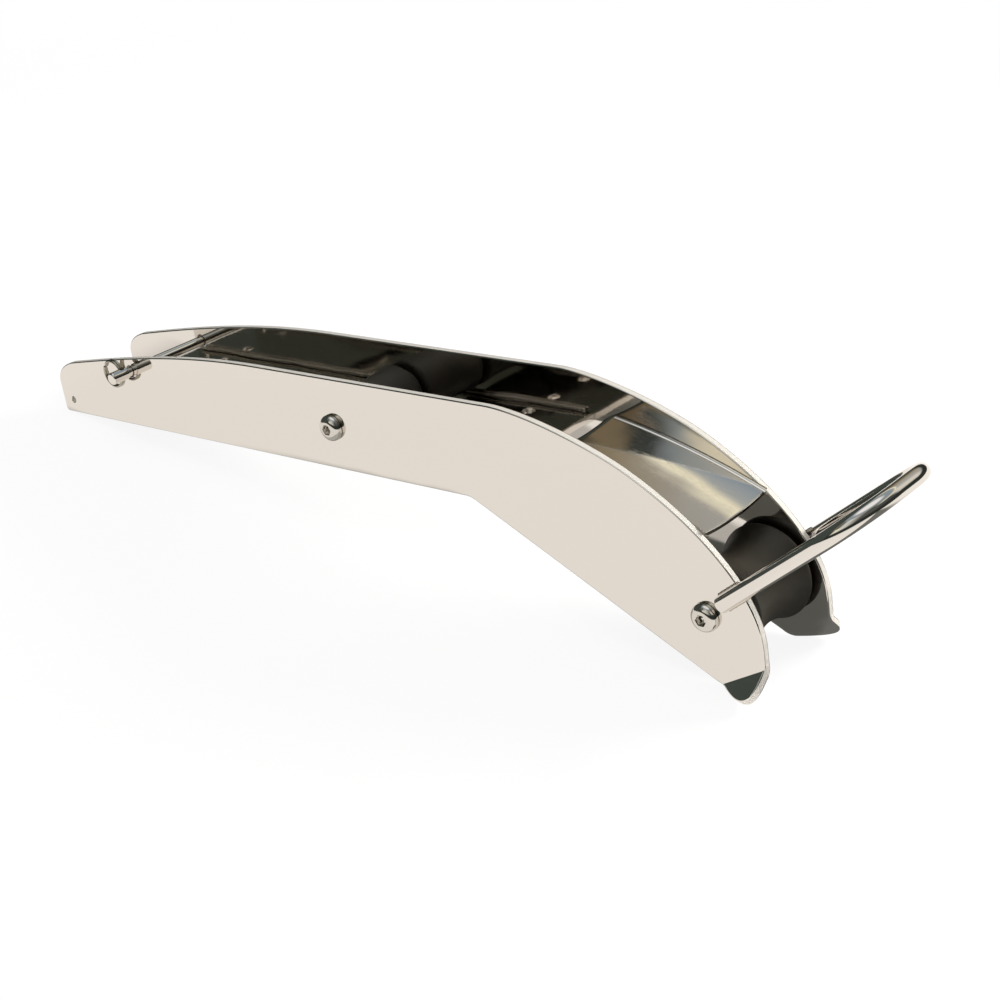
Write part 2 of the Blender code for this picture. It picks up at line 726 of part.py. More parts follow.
def keeper_ball(frame, name, side):
    piece = link_mesh(ball_mesh(name, BALL_RADIUS, 16))
    centre = KEEPER_RADIUS + BALL_PROUD - BALL_RADIUS
    piece.location = (0.0, OUTER_FACE + KEEPER_TAIL - BALL_INSET, side * centre)
    piece.parent = frame
    return finish_object(piece, name, FASTENER_STEEL)


def keeper_ring(frame):
    """The pull ring of doubled wire, threaded through the pin's head on an upright axis."""
    hinge = bpy.data.objects.new("ring_frame", None)
    PARTS.objects.link(hinge)
    hinge.parent = frame
    hinge.location = (0.0, -(OUTER_FACE + RING_HOLE_REACH), 0.0)
    inner = RING_RADIUS - RING_WIRE / 2
    outer = RING_RADIUS + RING_WIRE / 2
    half = RING_WIDTH / 2
    profile = [(inner, half), (outer - RING_CHAMFER, half), (outer, half - RING_CHAMFER), (outer, RING_GROOVE),
               (outer - RING_GROOVE, 0.0), (outer, -RING_GROOVE), (outer, RING_CHAMFER - half),
               (outer - RING_CHAMFER, -half), (inner, -half)]
    piece = turned_piece("keeper_ring", profile, closed=True)
    piece.rotation_euler = (math.pi / 2, 0.0, 0.0)
    piece.location = (RING_OFFSET - RING_RADIUS, 0.0, 0.0)
    piece.parent = hinge
    return finish_object(piece, "keeper_ring", POLISHED_STEEL)


# Assembly

SIDES = (("port", PORT), ("starboard", STARBOARD))

deck_plate()
nose_ramp()
for side_name, side in SIDES:
    cheek("cheek_" + side_name, side)
    deck_weld("deck_weld_" + side_name, side)
    ramp_weld("ramp_weld_" + side_name, side)
for end, end_x, end_z, end_radius, end_waist in (
        ("front", FRONT_AXLE_X, FRONT_AXLE_Z, FRONT_ROLLER_RADIUS, FRONT_ROLLER_WAIST),
        ("middle", MID_AXLE_X, MID_AXLE_Z, MID_ROLLER_RADIUS, MID_ROLLER_WAIST)):
    roller(end + "_roller", end_radius, end_waist, end_x, end_z)
    bush(end + "_bush", end_x, end_z)
    for side_name, side in SIDES:
        thrust_washer(end + "_thrust_washer_" + side_name, side, end_x, end_z)
    axle_bolt(end + "_axle_bolt", end_x, end_z)
    axle_washer(end + "_axle_washer", end_x, end_z)
    lock_nut(end + "_lock_nut", end_x, end_z)
hoop()
for side_name, side in SIDES:
    hoop_weld("hoop_weld_" + side_name + "_upper", side, 1)
    hoop_weld("hoop_weld_" + side_name + "_lower", side, -1)
keeper = keeper_empty()
keeper_pin(keeper)
keeper_ring(keeper)
keeper_ball(keeper, "keeper_ball_upper", 1)
keeper_ball(keeper, "keeper_ball_lower", -1)
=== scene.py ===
import math
import bmesh
import bpy
from mathutils import Matrix, Vector


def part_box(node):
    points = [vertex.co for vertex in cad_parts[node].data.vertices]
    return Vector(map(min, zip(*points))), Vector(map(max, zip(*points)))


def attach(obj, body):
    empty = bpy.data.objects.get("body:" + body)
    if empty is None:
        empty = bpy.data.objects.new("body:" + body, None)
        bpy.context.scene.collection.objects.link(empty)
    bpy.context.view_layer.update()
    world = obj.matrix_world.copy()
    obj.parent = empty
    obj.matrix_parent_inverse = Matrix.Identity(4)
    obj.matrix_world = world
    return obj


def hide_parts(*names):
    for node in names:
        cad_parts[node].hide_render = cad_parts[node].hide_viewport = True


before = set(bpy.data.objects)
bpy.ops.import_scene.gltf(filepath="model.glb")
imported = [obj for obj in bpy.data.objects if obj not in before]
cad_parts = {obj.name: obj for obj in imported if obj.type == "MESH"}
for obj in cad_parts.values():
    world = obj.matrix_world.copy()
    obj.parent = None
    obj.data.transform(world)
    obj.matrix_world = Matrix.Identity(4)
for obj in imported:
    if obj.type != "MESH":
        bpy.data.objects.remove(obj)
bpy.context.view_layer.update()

# Cheeks
# Two mirrored plates of 5 mm stainless steel, cut to one long curved outline and polished like a
# mirror. The lowest corner at the nose is bent outwards into a lip, so that the chain runs off it
# without a nick. Everything else is welded or bolted between them.

PLATE = 0.005
HALF_CHANNEL = 0.031
OUTER_FACE = HALF_CHANNEL + PLATE
GAP = 0.0003
REAR_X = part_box("cheek_port")[0].x
SIDES = {"port": -1, "starboard": 1}

REAR_EDGE_HEIGHT = 0.023
REAR_CORNER_RUN = 0.020
REAR_CORNER_HEIGHT = 0.040
REAR_CORNER_PULL = 0.45
REAR_CORNER_SAG = 0.0028
FOOT_RADIUS = 0.003
CHEEK_HEIGHT = 0.062
CROWN_START = 0.230
CROWN_PULL = 0.35
CROWN_RISE = 0.57
SHOULDER = 0.430
SHOULDER_PULL = 0.24
BROW = 0.5274
BROW_HEIGHT = 0.0368
BROW_SLOPE = 0.47
BROW_PULL = 0.31
BROW_FALL_SLOPE = 0.49
BROW_FALL_PULL = 0.42
NOSE_REACH = 0.6123
NOSE_EDGE_TOP = -0.058
NOSE_PULL = 0.443
KINK = 0.4085
KINK_RADIUS = 0.004
UNDERCUT_ANGLE = math.radians(26.2)

LIP_REAR = 0.5825
LIP_FRONT_DROP = -0.0693
LIP_DEPTH = 0.0166
LIP_CREST_PLACE = 0.60
LIP_CREST_ROUND = 0.24
LIP_CORNER_PULL = 0.34
LIP_FLARE = math.radians(52)
LIP_BEND_RADIUS = 0.0065
LIP_BEND_STEPS = 18

FRONT_AXLE = (0.5760, -0.0435)
MIDDLE_AXLE = (0.2955, 0.0290)
BOLT_HOLE_RADIUS = 0.0053
KEEPER_PLACE = (0.0910, 0.0420)
KEEPER_HOLE_RADIUS = 0.0042
SEIZING_HOLE = (0.0117, 0.0100)
SEIZING_HOLE_RADIUS = 0.0023

CHEEK_ARRIS = 0.0007
ARRIS_STEPS = 8
ARRIS_SUPPORT = 0.0001
CORNER_COSINE = math.cos(math.radians(14))


def along(distance):
    """World X of a distance measured forward from the cheeks' rear edge."""
    return REAR_X + distance


def bezier(start, start_handle, end_handle, end, steps):
    """Points of a cubic curve, without its last one."""
    points = []
    for step in range(steps):
        t = step / steps
        weights = ((1 - t) ** 3, 3 * t * (1 - t) ** 2, 3 * t * t * (1 - t), t ** 3)
        corners = (start, start_handle, end_handle, end)
        points.append(tuple(sum(w * corner[axis] for w, corner in zip(weights, corners)) for axis in (0, 1)))
    return points


def rounded(points, index, radius, steps=8):
    """The same loop with one of its corners rounded off."""
    corner = Vector(points[index])
    before = Vector(points[index - 1])
    after = Vector(points[(index + 1) % len(points)])
    start = corner + (before - corner).normalized() * min(radius, (before - corner).length * 0.45)
    end = corner + (after - corner).normalized() * min(radius, (after - corner).length * 0.45)
    arc = [tuple(start.lerp(corner, step / steps).lerp(corner.lerp(end, step / steps), step / steps))
           for step in range(steps + 1)]
    return points[:index] + arc + points[index + 1:]


def lip_line():
    """Start, end, direction and outward normal of the lip's bend, in the cheek's plane."""
    start = Vector((LIP_REAR, -(LIP_REAR - KINK) * math.tan(UNDERCUT_ANGLE)))
    end = Vector((NOSE_REACH, LIP_FRONT_DROP))
    direction = (end - start).normalized()
    return start, end, direction, Vector((direction.y, -direction.x))


def cheek_outline():
    """Flat pattern of a cheek, anticlockwise, with the lip not yet bent."""
    crown_reach = CROWN_PULL * (CROWN_START - REAR_CORNER_RUN)
    foot = FOOT_RADIUS * 0.45
    points = bezier((FOOT_RADIUS, 0.0), (foot, 0.0), (0.0, foot), (0.0, FOOT_RADIUS), 10)
    points += bezier((0.0, REAR_EDGE_HEIGHT),
                     (0.0, (REAR_EDGE_HEIGHT + REAR_CORNER_HEIGHT) / 2),
                     (REAR_CORNER_PULL * REAR_CORNER_RUN, REAR_CORNER_HEIGHT - REAR_CORNER_SAG),
                     (REAR_CORNER_RUN, REAR_CORNER_HEIGHT), 24)
    points += bezier((REAR_CORNER_RUN, REAR_CORNER_HEIGHT),
                     (REAR_CORNER_RUN + crown_reach,
                      REAR_CORNER_HEIGHT + CROWN_RISE * (CHEEK_HEIGHT - REAR_CORNER_HEIGHT)),
                     (CROWN_START - crown_reach, CHEEK_HEIGHT),
                     (CROWN_START, CHEEK_HEIGHT), 48)
    points += [(CROWN_START, CHEEK_HEIGHT)]
    fall = BROW - SHOULDER
    points += bezier((SHOULDER, CHEEK_HEIGHT),
                     (SHOULDER + SHOULDER_PULL * fall, CHEEK_HEIGHT),
                     (BROW - BROW_PULL * fall, BROW_HEIGHT + BROW_PULL * fall * BROW_SLOPE),
                     (BROW, BROW_HEIGHT), 40)
    nose_reach = BROW_FALL_PULL * (NOSE_REACH - BROW)
    points += bezier((BROW, BROW_HEIGHT),
                     (BROW + nose_reach, BROW_HEIGHT - nose_reach * BROW_FALL_SLOPE),
                     (NOSE_REACH, NOSE_EDGE_TOP + NOSE_PULL * (BROW_HEIGHT - NOSE_EDGE_TOP)),
                     (NOSE_REACH, NOSE_EDGE_TOP), 56)
    points += [(NOSE_REACH, NOSE_EDGE_TOP)]
    start, end, direction, outward = lip_line()
    width = (end - start).length
    crest = start + direction * (LIP_CREST_PLACE * width) + outward * LIP_DEPTH
    pull = LIP_CORNER_PULL * LIP_DEPTH
    front_pull = end + Vector((0.0, -pull))
    rear_pull = start + Vector((math.cos(UNDERCUT_ANGLE), -math.sin(UNDERCUT_ANGLE))) * pull
    round_off = direction * (LIP_CREST_ROUND * width)
    points += bezier(end, front_pull, crest + round_off, crest, 24)
    points += bezier(crest, crest - round_off, rear_pull, start, 24)
    points += [tuple(start), (KINK, 0.0)]
    points = rounded(points, len(points) - 1, KINK_RADIUS)
    return points[::-1]


def hole(place, radius, steps=64):
    """A round hole, clockwise."""
    turns = [-2 * math.pi * step / steps for step in range(steps)]
    return [(place[0] + radius * math.cos(turn), place[1] + radius * math.sin(turn)) for turn in turns]


def plate_mesh(outline, holes, thickness, arris, stations=()):
    """A flat plate in local XY whose arrises are rounded all round its outline and its holes."""
    work = bmesh.new()
    rim = work.faces.layers.int.new("rim")
    turns = [math.pi / 2 * step / ARRIS_STEPS for step in range(ARRIS_STEPS + 1)]
    upper = [(arris * (1 - math.cos(turn)), thickness / 2 - arris * (1 - math.sin(turn))) for turn in turns]
    band = work.faces.layers.int.new("band")
    flat = thickness / 2 - arris - ARRIS_SUPPORT
    levels = [(inset, -depth) for inset, depth in reversed(upper)]
    levels += [(0.0, depth) for depth in [-flat, *stations, flat]] + upper
    borders = {-1: [], 1: []}
    for loop in [outline] + holes:
        count = len(loop)
        rings = [[] for _ in levels]
        corners = []
        for index in range(count):
            place = Vector(loop[index])
            run_in = (place - Vector(loop[index - 1])).normalized()
            run_out = (Vector(loop[(index + 1) % count]) - place).normalized()
            run = (run_in + run_out).normalized()
            corners.append(run_in.dot(run_out) < CORNER_COSINE)
            for ring, (inset, depth) in zip(rings, levels):
                ring.append(work.verts.new((place.x - run.y * inset, place.y + run.x * inset, depth)))
        for row, (low, high) in enumerate(zip(rings, rings[1:])):
            for index in range(count):
                after = (index + 1) % count
                face = work.faces.new((low[index], low[after], high[after], high[index]))
                face[rim] = 1
                face[band] = abs(levels[row][1] + levels[row + 1][1]) < flat
        for index, is_corner in enumerate(corners):
            for low, high in zip(rings, rings[1:]):
                work.edges.get((low[index], high[index])).smooth = not is_corner
        for end, ring in ((-1, rings[0]), (1, rings[-1])):
            following = ring[1:] + ring[:1]
            borders[end] += [work.edges.get(pair) for pair in zip(ring, following)]
    for end, edges in borders.items():
        bmesh.ops.triangle_fill(work, use_beauty=True, edges=edges, normal=(0.0, 0.0, end))
    return work, rim


def close_plate(work, rim, cut_edge=False):
    """Points every face outwards and keeps the flat faces flat right up to their rounded arrises."""
    band = work.faces.layers.int["band"]
    bmesh.ops.recalc_face_normals(work, faces=work.faces)
    for face in work.faces:
        face.smooth = True
        face.material_index = int(cut_edge and face[band])
    for edge in work.edges:
        if len({face[rim] for face in edge.link_faces}) > 1:
            edge.smooth = False
    mesh = bpy.data.meshes.new("plate")
    work.to_mesh(mesh)
    work.free()
    return mesh


def cut_across(work, place, direction):
    parts = list(work.verts) + list(work.edges) + list(work.faces)
    bmesh.ops.bisect_plane(work, geom=parts, dist=0.0000001, plane_co=place, plane_no=direction)


def cheek_mesh(side):
    """One cheek in its place: the flat pattern with its holes, then the lip bent outwards."""
    holes = [hole(FRONT_AXLE, BOLT_HOLE_RADIUS), hole(MIDDLE_AXLE, BOLT_HOLE_RADIUS),
             hole(KEEPER_PLACE, KEEPER_HOLE_RADIUS), hole(SEIZING_HOLE, SEIZING_HOLE_RADIUS)]
    work, rim = plate_mesh(cheek_outline(), holes, PLATE, CHEEK_ARRIS)
    start, end, direction, outward = lip_line()
    arc = LIP_BEND_RADIUS * LIP_FLARE
    normal = Vector((outward.x, outward.y, 0.0))
    offsets = [arc * (step / LIP_BEND_STEPS - 0.5) for step in range(LIP_BEND_STEPS + 1)]
    for offset in [-arc / 2 - CHEEK_ARRIS] + offsets + [arc / 2 + CHEEK_ARRIS]:
        cut_across(work, Vector((start.x, start.y, 0.0)) + normal * offset, normal)
    for vertex in work.verts:
        flat = Vector((vertex.co.x, vertex.co.y)) - start
        depth = vertex.co.z
        reach = flat.dot(outward) + arc / 2
        place = vertex.co.xy
        if reach > 0.0 and vertex.co.x > KINK + KINK_RADIUS:
            turn = min(reach / LIP_BEND_RADIUS, LIP_FLARE)
            rest = max(reach - arc, 0.0)
            forward = LIP_BEND_RADIUS * math.sin(turn) + rest * math.cos(turn) - depth * math.sin(turn)
            depth = LIP_BEND_RADIUS * (1 - math.cos(turn)) + rest * math.sin(turn) + depth * math.cos(turn)
            place = start + direction * flat.dot(direction) + outward * (forward - arc / 2)
        vertex.co = (along(place.x), side * (HALF_CHANNEL + PLATE / 2 + depth), place.y)
    return close_plate(work, rim, cut_edge=True)


def new_finish(name, metallic):
    """A blank finish: its material, its shader, and the place on the piece that its grain follows."""
    material = bpy.data.materials.new(name)
    material.use_nodes = True
    shader = material.node_tree.nodes["Principled BSDF"]
    shader.inputs["Metallic"].default_value = metallic
    place = material.node_tree.nodes.new("ShaderNodeTexCoord").outputs["Object"]
    return material, shader, place


def finish_node(material, kind, sources, values):
    """A new node of a finish, its inputs joined to their sources or set to plain values."""
    made = material.node_tree.nodes.new(kind)
    for name, source in sources.items():
        material.node_tree.links.new(source, made.inputs[name])
    for name, value in values.items():
        made.inputs[name].default_value = value
    return made


def noise(material, place, scale, detail):
    values = {"Scale": scale, "Detail": detail}
    return finish_node(material, "ShaderNodeTexNoise", {"Vector": place}, values).outputs["Fac"]


def stretched(material, place, scale):
    return finish_node(material, "ShaderNodeMapping", {"Vector": place}, {"Scale": scale}).outputs["Vector"]


def two_colours(material, shader, share, first, second):
    """Colours the finish with a share of two tones."""
    colour = material.node_tree.nodes.new("ShaderNodeMix")
    colour.data_type = "RGBA"
    colour.inputs["A"].default_value = (*first, 1.0)
    colour.inputs["B"].default_value = (*second, 1.0)
    material.node_tree.links.new(share, colour.inputs["Factor"])
    material.node_tree.links.new(colour.outputs["Result"], shader.inputs["Base Color"])


def uneven_gloss(material, shader, share, low, high, limits=(0.0, 1.0)):
    """Lets the roughness of the finish run from low to high."""
    values = {"From Min": limits[0], "From Max": limits[1], "To Min": low, "To Max": high}
    gloss = finish_node(material, "ShaderNodeMapRange", {"Value": share}, values)
    material.node_tree.links.new(gloss.outputs["Result"], shader.inputs["Roughness"])


def relief(material, height, strength, distance, under=None):
    """A fine relief, over another one where that is given."""
    sources = {"Height": height}
    if under is not None:
        sources["Normal"] = under
    values = {"Strength": strength, "Distance": distance}
    return finish_node(material, "ShaderNodeBump", sources, values).outputs["Normal"]


def mirror_steel(name, tint=(0.785, 0.742, 0.690), cloud=(0.765, 0.735, 0.696), haze=0.035, swirl=0.0006,
                 grain=(40.0, 900.0, 900.0)):
    """Polished stainless: faint clouds in its colour, buffing lines in its gloss and slow waves."""
    material, shader, place = new_finish(name, 1.0)
    two_colours(material, shader, noise(material, place, 14.0, 3.0), tint, cloud)
    buffing = noise(material, stretched(material, place, grain), 1.0, 4.0)
    uneven_gloss(material, shader, buffing, haze * 0.6, haze * 2.2, (0.35, 0.75))
    waves = relief(material, noise(material, place, 22.0, 1.0), 0.5, swirl)
    lines = relief(material, buffing, 0.12, 0.00002, waves)
    material.node_tree.links.new(lines, shader.inputs["Normal"])
    return material


def fit(name, mesh, material, body, slot, *solids, edge=None):
    """Puts a finished mesh on its body, in place of its plain solids. Its cut edges may differ."""
    mesh.name = name
    if not mesh.materials:
        mesh.materials.append(material)
    if edge:
        mesh.materials.append(edge)
    made = bpy.data.objects.new(name, mesh)
    bpy.context.scene.collection.objects.link(made)
    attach(made, body)
    if solids:
        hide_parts(*solids)


def satin_edge():
    """The cut edges of the plate, brushed lengthwise and paler than its polished faces."""
    material, shader, place = new_finish("cut_edge_steel", 0.45)
    brushing = noise(material, stretched(material, place, (90.0, 2600.0, 90.0)), 1.0, 3.0)
    two_colours(material, shader, brushing, (0.80, 0.77, 0.73), (0.66, 0.62, 0.57))
    uneven_gloss(material, shader, brushing, 0.34, 0.52)
    return material


cheek_steel = mirror_steel("cheek_mirror_steel")
edge_steel = satin_edge()
for side_name, side in SIDES.items():
    fit("polished_cheek_" + side_name, cheek_mesh(side), cheek_steel, "frame", "polished_steel",
        "cheek_" + side_name, edge=edge_steel)

# Deck plate
# A straight strip of the same 5 mm plate that closes the channel from below along the deck. Six
# holes take the deck bolts.

DECK_LENGTH = 0.400
DECK_HOLE_RADIUS = 0.0045
DECK_HOLE_SPREAD = 0.036
DECK_HOLE_RUN = 0.155
DECK_ARRIS = 0.0005


def deck_mesh():
    half_length = DECK_LENGTH / 2
    half_width = HALF_CHANNEL - GAP
    corners = [(-half_length, -half_width), (half_length, -half_width), (half_length, half_width),
               (-half_length, half_width)]
    holes = [hole((row * DECK_HOLE_RUN, side * DECK_HOLE_SPREAD / 2), DECK_HOLE_RADIUS)
             for row in (-1, 0, 1) for side in SIDES.values()]
    work, rim = plate_mesh(corners, holes, PLATE, DECK_ARRIS)
    bmesh.ops.translate(work, verts=work.verts, vec=(0.0, 0.0, PLATE / 2))
    return close_plate(work, rim)


deck_steel = mirror_steel("deck_mirror_steel", haze=0.06, swirl=0.0010)
fit("polished_deck_plate", deck_mesh(), deck_steel, "frame", "polished_steel", "deck_plate")

# Welds of the deck plate
# One run of filler in the corner between the deck plate and each cheek, laid down as small
# overlapping scales and then brightened. It stays duller than the plate, with a trace of straw
# colour from the heat.

DECK_BEAD_RADIUS = 0.0015
DECK_BEAD_INSET = 0.006
WELD_PITCH = 0.0011
WELD_SEED = 7
SCALE_SMALLEST = 0.90
SCALE_LARGEST = 1.06


def weld_tree():
    """Overlapping scales of filler along a path, each a little different."""
    tree = bpy.data.node_groups.new("weld_scales", "GeometryNodeTree")
    face = tree.interface
    face.new_socket(name="Path", in_out="INPUT", socket_type="NodeSocketGeometry")
    face.new_socket(name="Pitch", in_out="INPUT", socket_type="NodeSocketFloat")
    face.new_socket(name="Bead Radius", in_out="INPUT", socket_type="NodeSocketFloat")
    face.new_socket(name="Finish", in_out="INPUT", socket_type="NodeSocketMaterial")
    face.new_socket(name="Bead", in_out="OUTPUT", socket_type="NodeSocketGeometry")
    nodes = tree.nodes
    join = tree.links.new
    given = nodes.new("NodeGroupInput")
    made = nodes.new("NodeGroupOutput")
    line = nodes.new("GeometryNodeMeshToCurve")
    join(given.outputs["Path"], line.inputs["Mesh"])
    points = nodes.new("GeometryNodeCurveToPoints")
    points.mode = "LENGTH"
    join(line.outputs["Curve"], points.inputs["Curve"])
    join(given.outputs["Pitch"], points.inputs["Length"])
    scale = nodes.new("GeometryNodeMeshUVSphere")
    scale.inputs["Segments"].default_value = 14
    scale.inputs["Rings"].default_value = 8
    join(given.outputs["Bead Radius"], scale.inputs["Radius"])
    soft = nodes.new("GeometryNodeSetShadeSmooth")
    join(scale.outputs["Mesh"], soft.inputs["Geometry"])
    size = nodes.new("FunctionNodeRandomValue")
    size.data_type = "FLOAT"
    size.inputs[2].default_value = SCALE_SMALLEST
    size.inputs[3].default_value = SCALE_LARGEST
    size.inputs["Seed"].default_value = WELD_SEED
    laid = nodes.new("GeometryNodeInstanceOnPoints")
    join(points.outputs["Points"], laid.inputs["Points"])
    join(points.outputs["Rotation"], laid.inputs["Rotation"])
    join(soft.outputs["Geometry"], laid.inputs["Instance"])
    join(size.outputs[1], laid.inputs["Scale"])
    real = nodes.new("GeometryNodeRealizeInstances")
    join(laid.outputs["Instances"], real.inputs["Geometry"])
    painted = nodes.new("GeometryNodeSetMaterial")
    join(real.outputs["Geometry"], painted.inputs["Geometry"])
    join(given.outputs["Finish"], painted.inputs["Material"])
    join(painted.outputs["Geometry"], made.inputs["Bead"])
    return tree


def path_mesh(points):
    """A line of edges through a list of points."""
    mesh = bpy.data.meshes.new("path")
    edges = [(index, index + 1) for index in range(len(points) - 1)]
    mesh.from_pydata([tuple(point) for point in points], edges, [])
    return mesh


def grown(tree, path, values):
    """The plain mesh that a node tree makes from a path."""
    holder = bpy.data.objects.new("holder", path)
    bpy.context.scene.collection.objects.link(holder)
    modifier = holder.modifiers.new("grow", "NODES")
    modifier.node_group = tree
    for item in tree.interface.items_tree:
        if item.in_out == "INPUT" and item.name in values:
            modifier[item.identifier] = values[item.name]
    bpy.context.view_layer.update()
    evaluated = holder.evaluated_get(bpy.context.evaluated_depsgraph_get())
    mesh = bpy.data.meshes.new_from_object(evaluated)
    holder.modifiers.clear()
    bpy.data.objects.remove(holder)
    return mesh


weld_scales = weld_tree()
weld_steel = mirror_steel("weld_bead_steel", tint=(0.54, 0.50, 0.45), cloud=(0.46, 0.41, 0.34), haze=0.12,
                          swirl=0.0004, grain=(700.0, 700.0, 700.0))
for side_name, side in SIDES.items():
    reach = side * (HALF_CHANNEL - GAP - DECK_BEAD_RADIUS)
    half_run = DECK_LENGTH / 2 - DECK_BEAD_INSET
    line = [(end, reach, PLATE + GAP + DECK_BEAD_RADIUS) for end in (-half_run, half_run)]
    bead = grown(weld_scales, path_mesh(line),
                 {"Pitch": WELD_PITCH, "Bead Radius": DECK_BEAD_RADIUS, "Finish": weld_steel})
    fit("deck_weld_scales_" + side_name, bead, weld_steel, "frame", "weld_steel", "deck_weld_" + side_name)

# Nose ramp
# A bent 4 mm plate that lifts the chain over the nose. Its rear edge is rolled down so that
# nothing catches on it. Its front edge stands above the front roller, rounded over and brushed.

RAMP_THICK = 0.004
RAMP_REAR = (0.4730, 0.0335)
RAMP_FRONT = (0.5760, 0.0030)
RAMP_RISE = 0.0030
RAMP_ROLL_RADIUS = 0.008
RAMP_ROLL_ANGLE = math.radians(70)
RAMP_STEPS = 64
RAMP_ROLL_STEPS = 24
RAMP_ARRIS = 0.0013
RAMP_STATIONS = [0.002 * step for step in range(-14, 15)]
RAMP_DISH = 0.0022
RAMP_DISH_START = 0.002
RAMP_FRONT_FACE = 0.80
RAMP_SIDE_ARRIS = 0.0003


def ramp_line():
    """The ramp's upper face in side view, from the front edge back."""
    points = []
    for step in range(RAMP_STEPS + 1):
        t = step / RAMP_STEPS
        place = Vector(RAMP_FRONT).lerp(Vector(RAMP_REAR), t)
        place.y += RAMP_RISE * 4 * t * (1 - t)
        points.append(place)
    return points


def ramp_mesh():
    upper = ramp_line()
    back = (upper[-1] - upper[-2]).normalized()
    down = Vector((-back.y, back.x))
    centre = upper[-1] + down * RAMP_ROLL_RADIUS
    roll_upper = []
    roll_lower = []
    for step in range(1, RAMP_ROLL_STEPS + 1):
        turn = RAMP_ROLL_ANGLE * step / RAMP_ROLL_STEPS
        spoke = -down * math.cos(turn) + back * math.sin(turn)
        roll_upper.append(centre + spoke * RAMP_ROLL_RADIUS)
        roll_lower.append(centre + spoke * (RAMP_ROLL_RADIUS - RAMP_THICK))
    lower = []
    for index, place in enumerate(upper):
        run = (upper[min(index + 1, len(upper) - 1)] - upper[max(index - 1, 0)]).normalized()
        lower.append(place + Vector((-run.y, run.x)) * RAMP_THICK)
    loop = [tuple(place) for place in upper + roll_upper + roll_lower[::-1] + lower[::-1]]
    tip = len(upper) + len(roll_upper)
    loop = rounded(loop, len(loop) - 1, RAMP_ARRIS, 4)
    loop = rounded(loop, tip, RAMP_ARRIS, 4)
    loop = rounded(loop, tip - 1, RAMP_ARRIS, 4)
    loop = rounded(loop, 0, RAMP_ARRIS, 8)
    work, rim = plate_mesh(loop, [], 2 * (HALF_CHANNEL - GAP), RAMP_SIDE_ARRIS, RAMP_STATIONS)
    for vertex in work.verts:
        aside = max(abs(vertex.co.z) - RAMP_DISH_START, 0.0) / (HALF_CHANNEL - RAMP_DISH_START)
        vertex.co = (along(vertex.co.x), vertex.co.z, vertex.co.y + RAMP_DISH * aside ** 2)
    mesh = close_plate(work, rim)
    for face in mesh.polygons:
        if face.normal.x > RAMP_FRONT_FACE and face.center.x > along(RAMP_FRONT[0] - RAMP_THICK):
            face.material_index = 1
    return mesh


ramp_steel = mirror_steel("ramp_mirror_steel", haze=0.07, swirl=0.0014)
fit("polished_nose_ramp", ramp_mesh(), ramp_steel, "frame", "polished_steel", "nose_ramp", edge=edge_steel)

# Welds of the ramp
# A fine fillet between the ramp and each cheek, ground hollow and polished with them, and a small
# round tack at each end that was left as laid.

FILLET_LEG = 0.0022
FILLET_STEPS = 8
TACK_RADIUS = 0.0009
TACK_OVERRUN = 0.002
TACK_RUN = 1.4
TACK_RISE = 0.3
TACK_ASIDE = 0.0006
TACK_PITCH = 0.7
TACK_SCALE = 0.95
RAMP_WELD_LIFT = 0.0002
FILLET_SHARP = math.radians(40)


def fillet_mesh(side):
    """The hollow fillet along one side of the ramp, as a closed strip in the corner."""
    line = ramp_line()
    work = bmesh.new()
    rings = []
    for index, place in enumerate(line):
        run = (line[min(index + 1, len(line) - 1)] - line[max(index - 1, 0)]).normalized()
        up = Vector((run.y, -run.x))
        ring = []
        for step in range(FILLET_STEPS + 1):
            turn = math.pi / 2 * step / FILLET_STEPS
            inward = FILLET_LEG * (1 - math.sin(turn))
            lift = FILLET_LEG * (1 - math.cos(turn)) + RAMP_DISH - RAMP_WELD_LIFT
            spot = place + up * lift
            ring.append(work.verts.new((along(spot.x), side * (HALF_CHANNEL - inward), spot.y)))
        spot = place - up * RAMP_WELD_LIFT
        ring.append(work.verts.new((along(spot.x), side * HALF_CHANNEL, spot.y)))
        rings.append(ring)
    count = len(rings[0])
    for ring, following in zip(rings, rings[1:]):
        for index in range(count):
            after = (index + 1) % count
            work.faces.new((ring[index], ring[after], following[after], following[index]))
    work.faces.new(rings[0])
    work.faces.new(rings[-1])
    bmesh.ops.recalc_face_normals(work, faces=work.faces)
    mesh = bpy.data.meshes.new("fillet")
    work.to_mesh(mesh)
    work.free()
    mesh.shade_smooth()
    mesh.set_sharp_from_angle(angle=FILLET_SHARP)
    return mesh


fillet_steel = mirror_steel("ramp_fillet_steel", haze=0.09, swirl=0.0008, grain=(300.0, 600.0, 600.0))
for side_name, side in SIDES.items():
    fit("ramp_fillet_" + side_name, fillet_mesh(side), fillet_steel, "frame", "weld_steel",
        "ramp_weld_" + side_name)
    line = ramp_line()
    forward = (line[0] - line[1]).normalized()
    for end_name, place in (("front", line[0] + forward * TACK_OVERRUN), ("rear", line[-1])):
        reach = side * (HALF_CHANNEL - GAP - TACK_RADIUS)
        spot = Vector((along(place.x), reach, place.y + TACK_RADIUS + GAP))
        beads = [spot, spot + Vector((-TACK_RADIUS * TACK_RUN, side * TACK_ASIDE, TACK_RADIUS * TACK_RISE))]
        tack = grown(weld_scales, path_mesh(beads),
                     {"Pitch": TACK_RADIUS * TACK_PITCH, "Bead Radius": TACK_RADIUS * TACK_SCALE,
                      "Finish": weld_steel})
        fit("ramp_tack_" + side_name + "_" + end_name, tack, weld_steel, "frame", "weld_steel")

# Rollers
# Two black rubber rollers, waisted so that the chain runs down their middle. Each was turned to
# shape, which leaves fine rings round it, and turns on its bush.

